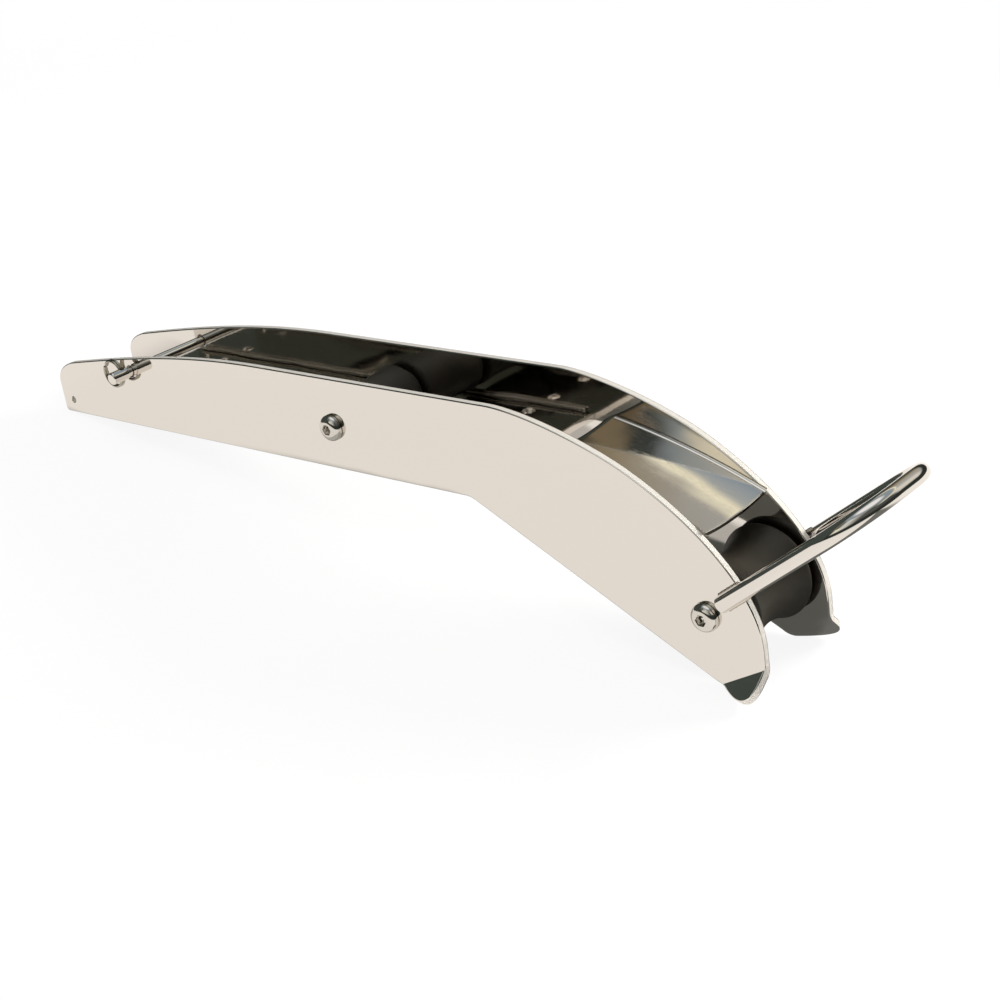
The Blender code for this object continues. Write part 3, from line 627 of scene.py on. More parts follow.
ROLLER_HALF = HALF_CHANNEL - 0.002 - 3 * GAP
ROLLER_BORE = 0.0086
ROLLER_EDGE = 0.003
ROLLER_RECESS = 0.0008
FRONT_ROLLER = (0.0298, 0.0238)
MIDDLE_ROLLER = (0.0200, 0.0185)
ROLLER_FACES = 128
TURNED_SHARP = math.radians(35)


def turned_mesh(profile, centre, closed=True, faces=96):
    """A turned part about an axis across the boat: the (radius, Y) profile goes once round it."""
    work = bmesh.new()
    rings = []
    for radius, y in profile:
        if radius < 0.000001:
            rings.append([work.verts.new((along(centre[0]), y, centre[1]))])
            continue
        turns = [2 * math.pi * step / faces for step in range(faces)]
        rings.append([work.verts.new((along(centre[0]) + radius * math.sin(turn), y,
                                      centre[1] + radius * math.cos(turn))) for turn in turns])
    pairs = list(zip(rings, rings[1:]))
    if closed:
        pairs.append((rings[-1], rings[0]))
    for ring, following in pairs:
        for index in range(faces):
            after = (index + 1) % faces
            corners = [ring[index % len(ring)], ring[after % len(ring)],
                       following[after % len(following)], following[index % len(following)]]
            corners = list(dict.fromkeys(corners))
            if len(corners) > 2:
                work.faces.new(corners)
    bmesh.ops.recalc_face_normals(work, faces=work.faces)
    mesh = bpy.data.meshes.new("turned")
    work.to_mesh(mesh)
    work.free()
    mesh.shade_smooth()
    mesh.set_sharp_from_angle(angle=TURNED_SHARP)
    return mesh


def roller_profile(radius, waist):
    """Half of an hourglass with rounded rims and a shallow recess in each end, mirrored."""
    crown = radius - ROLLER_EDGE
    reach = ROLLER_HALF - ROLLER_EDGE
    floor = ROLLER_HALF - ROLLER_RECESS
    half = [(ROLLER_BORE, ROLLER_HALF), (ROLLER_BORE + 0.0062, ROLLER_HALF), (ROLLER_BORE + 0.0068, floor),
            (crown - 0.0028, floor), (crown - 0.0020, ROLLER_HALF), (crown - 0.0004, ROLLER_HALF)]
    for step in range(13):
        turn = math.pi / 2 * step / 12
        half.append((crown + ROLLER_EDGE * math.sin(turn), reach + ROLLER_EDGE * math.cos(turn)))
    for step in range(1, 25):
        t = 1 - step / 24
        half.append((waist + (radius - waist) * t * t, reach * t))
    return half + [(place, -y) for place, y in reversed(half[:-1])]


def black_rubber():
    """Hard black rubber: turning rings, a fine pitted skin and a little dust."""
    material, shader, place = new_finish("roller_rubber", 0.0)
    shader.inputs["Specular IOR Level"].default_value = 0.35
    dust = noise(material, place, 60.0, 6.0)
    colour = finish_node(material, "ShaderNodeValToRGB", {"Fac": dust}, {})
    tones = ((0.35, (0.018, 0.0155, 0.011, 1.0)), (0.80, (0.029, 0.025, 0.019, 1.0)))
    for element, (position, tone) in zip(colour.color_ramp.elements, tones):
        element.position = position
        element.color = tone
    material.node_tree.links.new(colour.outputs["Color"], shader.inputs["Base Color"])
    uneven_gloss(material, shader, dust, 0.42, 0.62)
    rings = finish_node(material, "ShaderNodeTexWave", {"Vector": place}, {"Scale": 420.0, "Distortion": 0.6})
    rings.wave_type = "BANDS"
    rings.bands_direction = "Y"
    turning = relief(material, rings.outputs["Fac"], 0.25, 0.00006)
    pits = relief(material, noise(material, place, 1500.0, 3.0), 0.35, 0.0001, turning)
    material.node_tree.links.new(pits, shader.inputs["Normal"])
    return material


rubber = black_rubber()
for end_name, sizes, centre in (("front", FRONT_ROLLER, FRONT_AXLE), ("middle", MIDDLE_ROLLER, MIDDLE_AXLE)):
    body = end_name + "_roller"
    fit("turned_" + body, turned_mesh(roller_profile(*sizes), centre, faces=ROLLER_FACES), rubber, body,
        "black_rubber", body)

# Bushes and thrust washers
# A steel sleeve lines each roller, and a plastic washer at each end keeps the rubber off the
# cheeks. Little of them shows, so their solids stay and get their finish.


def plain_finish(name, light, dark, metallic, low_gloss, high_gloss, scale):
    """A plain machined finish with a fine grain in its colour and its gloss."""
    material, shader, place = new_finish(name, metallic)
    grain = noise(material, place, scale, 4.0)
    two_colours(material, shader, grain, light, dark)
    uneven_gloss(material, shader, grain, low_gloss, high_gloss)
    material.node_tree.links.new(relief(material, grain, 0.15, 0.00005), shader.inputs["Normal"])
    return material


bush_steel = plain_finish("bush_steel", (0.70, 0.66, 0.61), (0.62, 0.58, 0.54), 1.0, 0.18, 0.30, 900.0)
washer_plastic = plain_finish("washer_plastic", (0.060, 0.060, 0.058), (0.045, 0.045, 0.044), 0.0, 0.35, 0.50,
                              1200.0)
for end_name in ("front", "middle"):
    for name in (end_name + "_bush", end_name + "_thrust_washer_port", end_name + "_thrust_washer_starboard"):
        finish = bush_steel if name.endswith("bush") else washer_plastic
        for material_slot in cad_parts[name].material_slots:
            material_slot.material = finish

# Axle bolts
# Stainless button-head bolts, 10 mm, with a hexagon socket in their low dome. The head sits on the
# port cheek and the thread ends beyond the nut on the starboard side.

BOLT_RADIUS = 0.005
HEAD_RADIUS = 0.00875
HEAD_HEIGHT = 0.0055
HEAD_RIM = 0.0011
SOCKET_FLATS = 0.006
SOCKET_DEPTH = 0.0032
SOCKET_LAND = 0.0004
WASHER_THICK = 0.002
NUT_HEX_HEIGHT = 0.0075
NUT_COLLAR_HEIGHT = 0.0028
BOLT_TAIL = 0.0015
THREAD_PITCH = 0.0015
THREAD_DEPTH = 0.0007
THREAD_RUN = 0.014
THREAD_STEPS = 84
THREAD_FADE_STEPS = 8
THREAD_FLANK = 2.6
THREAD_END_CHAMFER = 0.0009
SOCKET_FLOOR_SHARE = 0.86
HEAD_LAND_SHARE = 0.62
AROUND = 96
FASTENER_SHARP = math.radians(30)


def hexagon_radius(turn, flats):
    """Distance from the middle to the side of a hexagon, in one direction."""
    nearest = math.pi / 3 * round(turn / (math.pi / 3))
    return flats / 2 / math.cos(turn - nearest)


def ring_of(work, centre, y, radius_at):
    """One ring of corners about an axle, its radius given for each direction."""
    ring = []
    for step in range(AROUND):
        turn = 2 * math.pi * step / AROUND
        radius = radius_at(turn)
        ring.append(work.verts.new((along(centre[0]) + radius * math.sin(turn), y,
                                    centre[1] + radius * math.cos(turn))))
    return ring


def skin(work, rings, closed=False):
    """Joins rings into a closed mesh, capped at both ends or joined end to end."""
    pairs = list(zip(rings, rings[1:]))
    if closed:
        pairs.append((rings[-1], rings[0]))
    for ring, following in pairs:
        for index in range(AROUND):
            after = (index + 1) % AROUND
            work.faces.new((ring[index], ring[after], following[after], following[index]))
    if not closed:
        work.faces.new(rings[0])
        work.faces.new(rings[-1])
    bmesh.ops.recalc_face_normals(work, faces=work.faces)
    mesh = bpy.data.meshes.new("skin")
    work.to_mesh(mesh)
    work.free()
    mesh.shade_smooth()
    mesh.set_sharp_from_angle(angle=FASTENER_SHARP)
    return mesh


def axle_bolt_mesh(centre):
    """Head, socket, shank and rolled thread in one piece, along the axle."""
    work = bmesh.new()
    seat = -(OUTER_FACE + GAP)
    tail = OUTER_FACE + 3 * GAP + WASHER_THICK + NUT_HEX_HEIGHT + NUT_COLLAR_HEIGHT + BOLT_TAIL
    top = seat - HEAD_HEIGHT
    land = SOCKET_FLATS * HEAD_LAND_SHARE

    def socket(turn):
        return hexagon_radius(turn, SOCKET_FLATS)

    rings = [ring_of(work, centre, top + SOCKET_DEPTH + 0.0010, lambda turn: 0.0001),
             ring_of(work, centre, top + SOCKET_DEPTH, lambda turn: socket(turn) * SOCKET_FLOOR_SHARE),
             ring_of(work, centre, top + SOCKET_DEPTH, socket),
             ring_of(work, centre, top + SOCKET_LAND, socket),
             ring_of(work, centre, top, lambda turn: socket(turn) + SOCKET_LAND),
             ring_of(work, centre, top, lambda turn: land)]
    for step in range(1, 25):
        turn_down = math.pi / 2 * step / 24
        radius = land + (HEAD_RADIUS - land) * math.sin(turn_down)
        y = seat - HEAD_RIM - (HEAD_HEIGHT - HEAD_RIM) * math.cos(turn_down)
        rings.append(ring_of(work, centre, y, lambda turn, radius=radius: radius))
    for radius, y in ((HEAD_RADIUS, seat - 0.0003), (HEAD_RADIUS - 0.0003, seat), (BOLT_RADIUS, seat),
                      (BOLT_RADIUS, tail - THREAD_RUN)):
        rings.append(ring_of(work, centre, y, lambda turn, radius=radius: radius))
    for step in range(1, THREAD_STEPS + 1):
        y = tail - THREAD_RUN + THREAD_RUN * step / THREAD_STEPS
        fade = min(1.0, step / THREAD_FADE_STEPS)
        end_cut = max(0.0, y - (tail - THREAD_END_CHAMFER))

        def thread(turn, y=y, fade=fade, end_cut=end_cut):
            phase = (y / THREAD_PITCH - turn / (2 * math.pi)) % 1.0
            cut = min(abs(phase - 0.5) * THREAD_FLANK, 1.0)
            return BOLT_RADIUS - THREAD_DEPTH * fade * cut - end_cut

        rings.append(ring_of(work, centre, y, thread))
    return skin(work, rings)


fastener_steel = mirror_steel("fastener_steel", tint=(0.72, 0.69, 0.64), cloud=(0.66, 0.63, 0.59), haze=0.075,
                              swirl=0.0002, grain=(900.0, 900.0, 900.0))
for end_name, centre in (("front", FRONT_AXLE), ("middle", MIDDLE_AXLE)):
    name = end_name + "_axle_bolt"
    fit("button_head_" + name, axle_bolt_mesh(centre), fastener_steel, "frame", "fastener_steel", name)

# Washers and lock nuts
# A flat washer under a nylon-insert nut holds each axle on the starboard side. The nut's corners
# are chamfered and its collar is rolled over the white nylon ring.

WASHER_RADIUS = 0.010
NUT_FLATS = 0.017
NUT_COLLAR_RADIUS = 0.0075
NUT_BORE = 0.0053
NUT_CHAMFER_RISE = 0.0016
NUT_CHAMFER_ANGLE = math.radians(28)
NUT_CHAMFER_STEPS = 8
NUT_FACE_INSET = 0.0002


def nut_mesh(centre):
    """Hexagon with both faces chamfered, and the round collar above it."""
    work = bmesh.new()
    low = OUTER_FACE + 2 * GAP + WASHER_THICK
    high = low + NUT_HEX_HEIGHT
    top = high + NUT_COLLAR_HEIGHT
    bevel = NUT_FLATS / 2 - NUT_FACE_INSET
    rises = [NUT_CHAMFER_RISE * step / NUT_CHAMFER_STEPS for step in range(1, NUT_CHAMFER_STEPS + 1)]

    def chamfered(rise):
        limit = bevel + rise / math.tan(NUT_CHAMFER_ANGLE)
        return lambda turn: min(hexagon_radius(turn, NUT_FLATS), limit)

    rings = [ring_of(work, centre, low, lambda turn: NUT_BORE), ring_of(work, centre, low, lambda turn: bevel)]
    rings += [ring_of(work, centre, low + rise, chamfered(rise)) for rise in rises]
    rings += [ring_of(work, centre, high - rise, chamfered(rise)) for rise in reversed(rises)]
    rings.append(ring_of(work, centre, high, lambda turn: bevel))
    for radius, y in ((NUT_COLLAR_RADIUS + 0.0004, high), (NUT_COLLAR_RADIUS, high + 0.0004),
                      (NUT_COLLAR_RADIUS, top - 0.0010), (NUT_COLLAR_RADIUS - 0.0003, top - 0.0003),
                      (NUT_COLLAR_RADIUS - 0.0010, top), (NUT_COLLAR_RADIUS - 0.0016, top - 0.0004),
                      (NUT_COLLAR_RADIUS - 0.0016, top - 0.0009), (NUT_BORE, top - 0.0009)):
        rings.append(ring_of(work, centre, y, lambda turn, radius=radius: radius))
    return skin(work, rings, closed=True)


nylon = plain_finish("insert_nylon", (0.62, 0.63, 0.62), (0.55, 0.56, 0.55), 0.0, 0.38, 0.52, 600.0)
for end_name, centre in (("front", FRONT_AXLE), ("middle", MIDDLE_AXLE)):
    seat = OUTER_FACE + GAP
    soft = 0.0003
    washer = [(NUT_BORE, seat + soft), (NUT_BORE + soft, seat), (WASHER_RADIUS - soft, seat),
              (WASHER_RADIUS, seat + soft), (WASHER_RADIUS, seat + WASHER_THICK - soft),
              (WASHER_RADIUS - soft, seat + WASHER_THICK), (NUT_BORE + soft, seat + WASHER_THICK),
              (NUT_BORE, seat + WASHER_THICK - soft)]
    name = end_name + "_axle_washer"
    fit("flat_" + name, turned_mesh(washer, centre), fastener_steel, "frame", "fastener_steel", name)
    name = end_name + "_lock_nut"
    fit("chamfered_" + name, nut_mesh(centre), fastener_steel, "frame", "fastener_steel", name)
    nut_top = OUTER_FACE + 2 * GAP + WASHER_THICK + NUT_HEX_HEIGHT + NUT_COLLAR_HEIGHT
    outer = NUT_COLLAR_RADIUS - 0.0016
    insert = [(BOLT_RADIUS - 0.0001, nut_top - 0.0022), (outer, nut_top - 0.0022), (outer, nut_top - 0.0006),
              (BOLT_RADIUS - 0.0001, nut_top - 0.0006)]
    fit(end_name + "_nut_insert", turned_mesh(insert, centre), nylon, "frame", "acetal")

# Hoop
# One length of 10 mm round rod, bent twice across the nose so that the anchor can't jump out. Its
# feet lie on the outside of the cheeks.

ROD_RADIUS = 0.005
HOOP_FOOT = (0.5907, -0.0305)
HOOP_PITCH = math.radians(37)
HOOP_LEG = 0.082
HOOP_CORNER_RADIUS = 0.0326
HOOP_OFFSET = OUTER_FACE + GAP + ROD_RADIUS
ROD_END_ROUND = 0.0008


def rod_tree():
    """A round rod along a path. Each point of the path gives its share of the rod's radius."""
    tree = bpy.data.node_groups.new("round_rod", "GeometryNodeTree")
    face = tree.interface
    face.new_socket(name="Path", in_out="INPUT", socket_type="NodeSocketGeometry")
    face.new_socket(name="Rod Radius", in_out="INPUT", socket_type="NodeSocketFloat")
    face.new_socket(name="Sides", in_out="INPUT", socket_type="NodeSocketInt")
    face.new_socket(name="Finish", in_out="INPUT", socket_type="NodeSocketMaterial")
    face.new_socket(name="Rod", in_out="OUTPUT", socket_type="NodeSocketGeometry")
    nodes = tree.nodes
    join = tree.links.new
    given = nodes.new("NodeGroupInput")
    made = nodes.new("NodeGroupOutput")
    line = nodes.new("GeometryNodeMeshToCurve")
    join(given.outputs["Path"], line.inputs["Mesh"])
    section = nodes.new("GeometryNodeCurvePrimitiveCircle")
    join(given.outputs["Sides"], section.inputs["Resolution"])
    join(given.outputs["Rod Radius"], section.inputs["Radius"])
    share = nodes.new("GeometryNodeInputNamedAttribute")
    share.data_type = "FLOAT"
    share.inputs["Name"].default_value = "share"
    swept = nodes.new("GeometryNodeCurveToMesh")
    swept.inputs["Fill Caps"].default_value = True
    join(line.outputs["Curve"], swept.inputs["Curve"])
    join(section.outputs["Curve"], swept.inputs["Profile Curve"])
    join(share.outputs["Attribute"], swept.inputs["Scale"])
    real = nodes.new("GeometryNodeRealizeInstances")
    join(swept.outputs["Mesh"], real.inputs["Geometry"])
    painted = nodes.new("GeometryNodeSetMaterial")
    join(real.outputs["Geometry"], painted.inputs["Geometry"])
    join(given.outputs["Finish"], painted.inputs["Material"])
    join(painted.outputs["Geometry"], made.inputs["Rod"])
    return tree


def rod_mesh(points, radius, end_round, sides, finish):
    """A rod through the points, its ends rounded off."""
    steps = 5
    turns = [math.pi / 2 * step / steps for step in range(steps)]
    first = (points[1] - points[0]).normalized()
    last = (points[-2] - points[-1]).normalized()
    insets = [end_round * (1 - math.sin(turn)) for turn in turns]
    shares = [1 - end_round / radius * (1 - math.cos(math.pi / 2 - turn)) for turn in turns]
    starts = [points[0] + first * (end_round - inset) for inset in insets]
    ends = [points[-1] + last * (end_round - inset) for inset in insets]
    line = starts + points[1:-1] + ends[::-1]
    mesh = path_mesh(line)
    share = mesh.attributes.new("share", "FLOAT", "POINT")
    share.data.foreach_set("value", shares + [1.0] * (len(points) - 2) + shares[::-1])
    made = grown(round_rod, mesh, {"Rod Radius": radius, "Sides": sides, "Finish": finish})
    work = bmesh.new()
    work.from_mesh(made)
    bmesh.ops.remove_doubles(work, verts=work.verts, dist=0.000002)
    bmesh.ops.recalc_face_normals(work, faces=work.faces)
    work.to_mesh(made)
    work.free()
    made.shade_smooth()
    made.set_sharp_from_angle(angle=TURNED_SHARP)
    return made


def hoop_place(reach, y):
    """A point of the hoop's plane: reach up its legs, and y across the boat."""
    return Vector((along(HOOP_FOOT[0]) + reach * math.cos(HOOP_PITCH), y,
                   HOOP_FOOT[1] + reach * math.sin(HOOP_PITCH)))


def hoop_path():
    path = [hoop_place(HOOP_LEG * step / 24, -HOOP_OFFSET) for step in range(24)]
    for step in range(37):
        turn = math.pi / 2 * step / 36
        path.append(hoop_place(HOOP_LEG + HOOP_CORNER_RADIUS * math.sin(turn),
                               -HOOP_OFFSET + HOOP_CORNER_RADIUS * (1 - math.cos(turn))))
    return path + [Vector((place.x, -place.y, place.z)) for place in reversed(path)]


round_rod = rod_tree()
hoop_steel = mirror_steel("hoop_mirror_steel", haze=0.05, swirl=0.0003, grain=(60.0, 700.0, 700.0))
fit("bent_rod_hoop", rod_mesh(hoop_path(), ROD_RADIUS, ROD_END_ROUND, 64, hoop_steel), hoop_steel, "frame",
    "polished_steel", "hoop")

# Welds of the hoop
# Two short runs of filler at each foot, one along either side of the rod. They hold the hoop to
# the cheek's outer face and are left with their ripples.

HOOP_BEAD_RADIUS = 0.0010
HOOP_BEAD_LENGTH = 0.016
HOOP_BEAD_PITCH = 0.0012
HOOP_BEAD_SWELL = 1.15

for side_name, side in SIDES.items():
    for edge_name, edge in (("upper", 1), ("lower", -1)):
        drop = ROD_RADIUS - HOOP_BEAD_RADIUS
        spread = edge * math.sqrt((ROD_RADIUS + HOOP_BEAD_RADIUS + GAP) ** 2 - drop ** 2)
        y = side * (OUTER_FACE + GAP + HOOP_BEAD_RADIUS)
        aside = Vector((-spread * math.sin(HOOP_PITCH), 0.0, spread * math.cos(HOOP_PITCH)))
        line = [hoop_place(HOOP_BEAD_LENGTH * step / 4, y) + aside for step in range(5)]
        bead = grown(weld_scales, path_mesh(line),
                     {"Pitch": HOOP_BEAD_PITCH, "Bead Radius": HOOP_BEAD_RADIUS * HOOP_BEAD_SWELL,
                      "Finish": weld_steel})
        name = side_name + "_" + edge_name
        fit("hoop_scales_" + name, bead, weld_steel, "frame", "weld_steel", "hoop_weld_" + name)

# Keeper pin
# A polished round pin that closes the channel at the rear and is drawn out to port. Its thicker
# head is cross bored for the pull ring, and two sprung balls in its tail keep it in.

PIN_RADIUS = 0.0035
PIN_TAIL = 0.0085
PIN_TAIL_ROUND = 0.003
PIN_HEAD_RADIUS = 0.0044
PIN_HEAD_START = 0.0035
PIN_HEAD_END = 0.017
PIN_HEAD_EDGE = 0.0012
RING_HOLE_RADIUS = 0.0023
RING_HOLE_REACH = 0.0072
BALL_RADIUS = 0.0016
BALL_PROUD = 0.0004
BALL_INSET = 0.0045
PIN_FACES = 64


def pin_mesh():
    tail = OUTER_FACE + PIN_TAIL
    head_start = -(OUTER_FACE + PIN_HEAD_START)
    head_end = -(OUTER_FACE + PIN_HEAD_END)
    profile = [(0.0, tail)]
    for step in range(1, 13):
        turn = math.pi / 2 * step / 12
        profile.append((PIN_RADIUS * math.sin(turn), tail - PIN_TAIL_ROUND * (1 - math.cos(turn))))
    profile += [(PIN_RADIUS, head_start + 0.0004), (PIN_RADIUS + 0.0004, head_start),
                (PIN_HEAD_RADIUS - 0.0003, head_start), (PIN_HEAD_RADIUS, head_start - 0.0003)]
    for step in range(9):
        turn = math.pi / 2 * step / 8
        profile.append((PIN_HEAD_RADIUS - PIN_HEAD_EDGE * (1 - math.cos(turn)),
                        head_end + PIN_HEAD_EDGE * (1 - math.sin(turn))))
    profile.append((0.0, head_end))
    return turned_mesh(profile, KEEPER_PLACE, closed=False, faces=PIN_FACES)


def drilled(mesh, y, radius):
    """The same mesh with an upright hole drilled through the pin."""
    work = bmesh.new()
    bmesh.ops.create_cone(work, cap_ends=True, segments=40, radius1=radius, radius2=radius, depth=0.02,
                          matrix=Matrix.Translation((along(KEEPER_PLACE[0]), y, KEEPER_PLACE[1])))
    drill_mesh = bpy.data.meshes.new("drill")
    work.to_mesh(drill_mesh)
    work.free()
    drill = bpy.data.objects.new("drill", drill_mesh)
    blank = bpy.data.objects.new("blank", mesh)
    bpy.context.scene.collection.objects.link(drill)
    bpy.context.scene.collection.objects.link(blank)
    cut = blank.modifiers.new("drill", "BOOLEAN")
    cut.operation = "DIFFERENCE"
    cut.solver = "EXACT"
    cut.object = drill
    bpy.context.view_layer.update()
    made = bpy.data.meshes.new_from_object(blank.evaluated_get(bpy.context.evaluated_depsgraph_get()))
    bpy.data.objects.remove(blank)
    bpy.data.objects.remove(drill)
    made.shade_smooth()
    made.set_sharp_from_angle(angle=FASTENER_SHARP)
    return made


pin_steel = mirror_steel("pin_mirror_steel", haze=0.05, swirl=0.0002, grain=(700.0, 60.0, 700.0))
pin = drilled(pin_mesh(), -(OUTER_FACE + RING_HOLE_REACH), RING_HOLE_RADIUS)
fit("polished_keeper_pin", pin, pin_steel, "keeper", "polished_steel", "keeper_pin")
for ball_name, side in (("upper", 1), ("lower", -1)):
    work = bmesh.new()
    height = KEEPER_PLACE[1] + side * (PIN_RADIUS + BALL_PROUD - BALL_RADIUS)
    place = Matrix.Translation((along(KEEPER_PLACE[0]), OUTER_FACE + PIN_TAIL - BALL_INSET, height))
    bmesh.ops.create_uvsphere(work, u_segments=32, v_segments=20, radius=BALL_RADIUS, matrix=place)
    ball = bpy.data.meshes.new("ball")
    work.to_mesh(ball)
    work.free()
    ball.shade_smooth()
    fit("detent_ball_" + ball_name, ball, fastener_steel, "keeper", "fastener_steel",
        "keeper_ball_" + ball_name)

# Pull ring
# A split ring like a key ring, two close turns of hard 1.9 mm wire, threaded through the hole in
# the pin's head.

RING_RADIUS = 0.0094
RING_WIRE = 0.0019
RING_OFFSET = 0.0005
RING_TURNS = 2.0
RING_STEPS = 150
RING_START = math.radians(150)
RING_CROSSING_START = 0.44
RING_CROSSING_SHARE = 0.12
RING_SPACING = 1.04
RING_END_ROUND = 0.0003
RING_SIDES = 20


def pull_ring_path():
    """Two turns of wire about an axis across the boat, the second beside the first."""
    centre = Vector((along(KEEPER_PLACE[0]) + RING_OFFSET - RING_RADIUS, -(OUTER_FACE + RING_HOLE_REACH),
                     KEEPER_PLACE[1]))
    path = []
    for step in range(RING_STEPS + 1):
        share = step / RING_STEPS
        turn = RING_START + 2 * math.pi * RING_TURNS * share
        crossing = min(max((share - RING_CROSSING_START) / RING_CROSSING_SHARE, 0.0), 1.0)
        beside = (crossing * crossing * (3 - 2 * crossing) - 0.5) * RING_WIRE * RING_SPACING
        path.append(centre + Vector((RING_RADIUS * math.cos(turn), beside, RING_RADIUS * math.sin(turn))))
    return path


ring_steel = mirror_steel("ring_wire_steel", tint=(0.44, 0.41, 0.35), cloud=(0.36, 0.33, 0.27), haze=0.10,
                          swirl=0.0001, grain=(900.0, 900.0, 900.0))
ring_mesh = rod_mesh(pull_ring_path(), RING_WIRE / 2, RING_END_ROUND, RING_SIDES, ring_steel)
fit("split_pull_ring", ring_mesh, ring_steel, "pull_ring", "polished_steel", "keeper_ring")

# Floor
# A plain white table. The object stands on it as it was photographed, on its rear corners and on
# the two lips, so the table slopes against the deck's level. The polished steel mirrors it as a
# white sheet, with a shade under the cheeks that is painted into its mirrored colour.

TABLE_HALF = 6.0
LIFT_OFF = 0.0001
SHEET_REAR = (-0.150, -0.080)
SHEET_REACH = (1.3, 3.2)
# Painted shade: these limits and depths, with SHADE_COLOUR, darken the table where the steel mirrors it under
# the object, in place of the object's shadow.
SHADE_AHEAD = (-0.06, 0.06)
SHADE_PORT = (-0.042, -0.034)
SHADE_STARBOARD = (0.09, 0.20)
SHADE_DEPTH = 0.97
NOSE_START = (0.52, 0.58)
NOSE_LIGHT = 0.045
ARCH_START = (0.10, 0.26)
ARCH_DEPTH = 0.50
STERN_LINE_SLOPE = 0.242
STERN_LINE = (-0.044, -0.036)
NOSE_LINE_SLOPE = 0.323
NOSE_LINE = (-0.224, -0.216)
SHADE_COLOUR = (0.036, 0.042, 0.036, 1.0)
SHEET_COLOUR = (0.985, 0.945, 0.895, 1.0)
LAMINATE_COLOUR = (0.90, 0.90, 0.90, 1.0)
MIRRORED_SHARE = 0.95
SHOWN_WHITE = 0.90
FAR_TABLE = (0.75, 1.30)


def table_frame():
    """Where the rear corners stand, and the slope down from there to the lowest point of the lips."""
    rear = Vector((along(FOOT_RADIUS), 0.0, 0.0))
    lip = [vertex.co for vertex in bpy.data.objects["polished_cheek_port"].data.vertices
           if vertex.co.x > along(0.5)]
    fall = min((place.z - rear.z) / (place.x - rear.x) for place in lip)
    return rear, math.atan(fall)


def table_finish():
    """White laminate with a soft shadow. The steel mirrors it white, with a painted shade under the cheeks."""
    material = bpy.data.materials.new("white_table")
    material.use_nodes = True
    nodes = material.node_tree.nodes
    join = material.node_tree.links.new
    nodes.remove(nodes["Principled BSDF"])
    laminate = nodes.new("ShaderNodeBsdfDiffuse")
    laminate.inputs["Color"].default_value = LAMINATE_COLOUR
    seen = nodes.new("ShaderNodeEmission")
    mirrored = nodes.new("ShaderNodeEmission")
    place = nodes.new("ShaderNodeTexCoord")
    apart = nodes.new("ShaderNodeSeparateXYZ")
    join(place.outputs["Object"], apart.inputs["Vector"])
    reach = nodes.new("ShaderNodeVectorMath")
    reach.operation = "LENGTH"
    join(place.outputs["Object"], reach.inputs[0])

    def soft_step(value, limits):
        step = nodes.new("ShaderNodeMapRange")
        step.interpolation_type = "SMOOTHSTEP"
        step.inputs["From Min"].default_value = limits[0]
        step.inputs["From Max"].default_value = limits[1]
        join(value, step.inputs["Value"])
        return step.outputs["Result"]

    def combine(operation, first, second):
        sum_node = nodes.new("ShaderNodeMath")
        sum_node.operation = operation
        for socket, value in zip(sum_node.inputs, (first, second)):
            if isinstance(value, float):
                socket.default_value = value
            else:
                join(value, socket)
        return sum_node.outputs["Value"]

    def starboard_of(slope, limits):
        leaning = combine("ADD", apart.outputs["Y"], combine("MULTIPLY", apart.outputs["X"], slope))
        return soft_step(leaning, limits)

    sheet = combine("MULTIPLY", soft_step(apart.outputs["X"], SHEET_REAR),
                    combine("SUBTRACT", 1.0, soft_step(reach.outputs["Value"], SHEET_REACH)))
    # Painted shade: ahead, arch and under darken the mirrored colour beneath the cheeks, with a wedge under
    # the port cheek's arch. NOSE_LIGHT makes it a little lighter toward the nose. The lamps cast none of it.
    ahead = soft_step(apart.outputs["X"], SHADE_AHEAD)
    arch = combine("MULTIPLY", starboard_of(STERN_LINE_SLOPE, STERN_LINE),
                   starboard_of(-NOSE_LINE_SLOPE, NOSE_LINE))
    arch = combine("MULTIPLY", arch,
                   combine("MULTIPLY", soft_step(apart.outputs["X"], ARCH_START), ARCH_DEPTH))
    under = combine("MAXIMUM", combine("MULTIPLY", ahead, soft_step(apart.outputs["Y"], SHADE_PORT)), arch)
    under = combine("MULTIPLY", under,
                    combine("SUBTRACT", 1.0, soft_step(apart.outputs["Y"], SHADE_STARBOARD)))
    depth = combine("SUBTRACT", SHADE_DEPTH,
                    combine("MULTIPLY", soft_step(apart.outputs["X"], NOSE_START), NOSE_LIGHT))
    light = combine("MULTIPLY", sheet, combine("SUBTRACT", 1.0, combine("MULTIPLY", under, depth)))
    colour = nodes.new("ShaderNodeMix")
    colour.data_type = "RGBA"
    colour.inputs["A"].default_value = SHADE_COLOUR
    colour.inputs["B"].default_value = SHEET_COLOUR
    join(light, colour.inputs["Factor"])
    join(colour.outputs["Result"], mirrored.inputs["Color"])
    path = nodes.new("ShaderNodeLightPath")
    shown = nodes.new("ShaderNodeMixShader")
    whiteness = combine("ADD", SHOWN_WHITE, combine("MULTIPLY", soft_step(reach.outputs["Value"], FAR_TABLE),
                                                    1.0 - SHOWN_WHITE))
    join(combine("MULTIPLY", path.outputs["Is Camera Ray"], whiteness), shown.inputs["Fac"])
    join(laminate.outputs["BSDF"], shown.inputs[1])
    join(seen.outputs["Emission"], shown.inputs[2])
    both = nodes.new("ShaderNodeMixShader")
    join(combine("MULTIPLY", path.outputs["Is Glossy Ray"], MIRRORED_SHARE), both.inputs["Fac"])
    join(shown.outputs["Shader"], both.inputs[1])
    join(mirrored.outputs["Emission"], both.inputs[2])
    join(both.outputs["Shader"], nodes["Material Output"].inputs["Surface"])
    return material


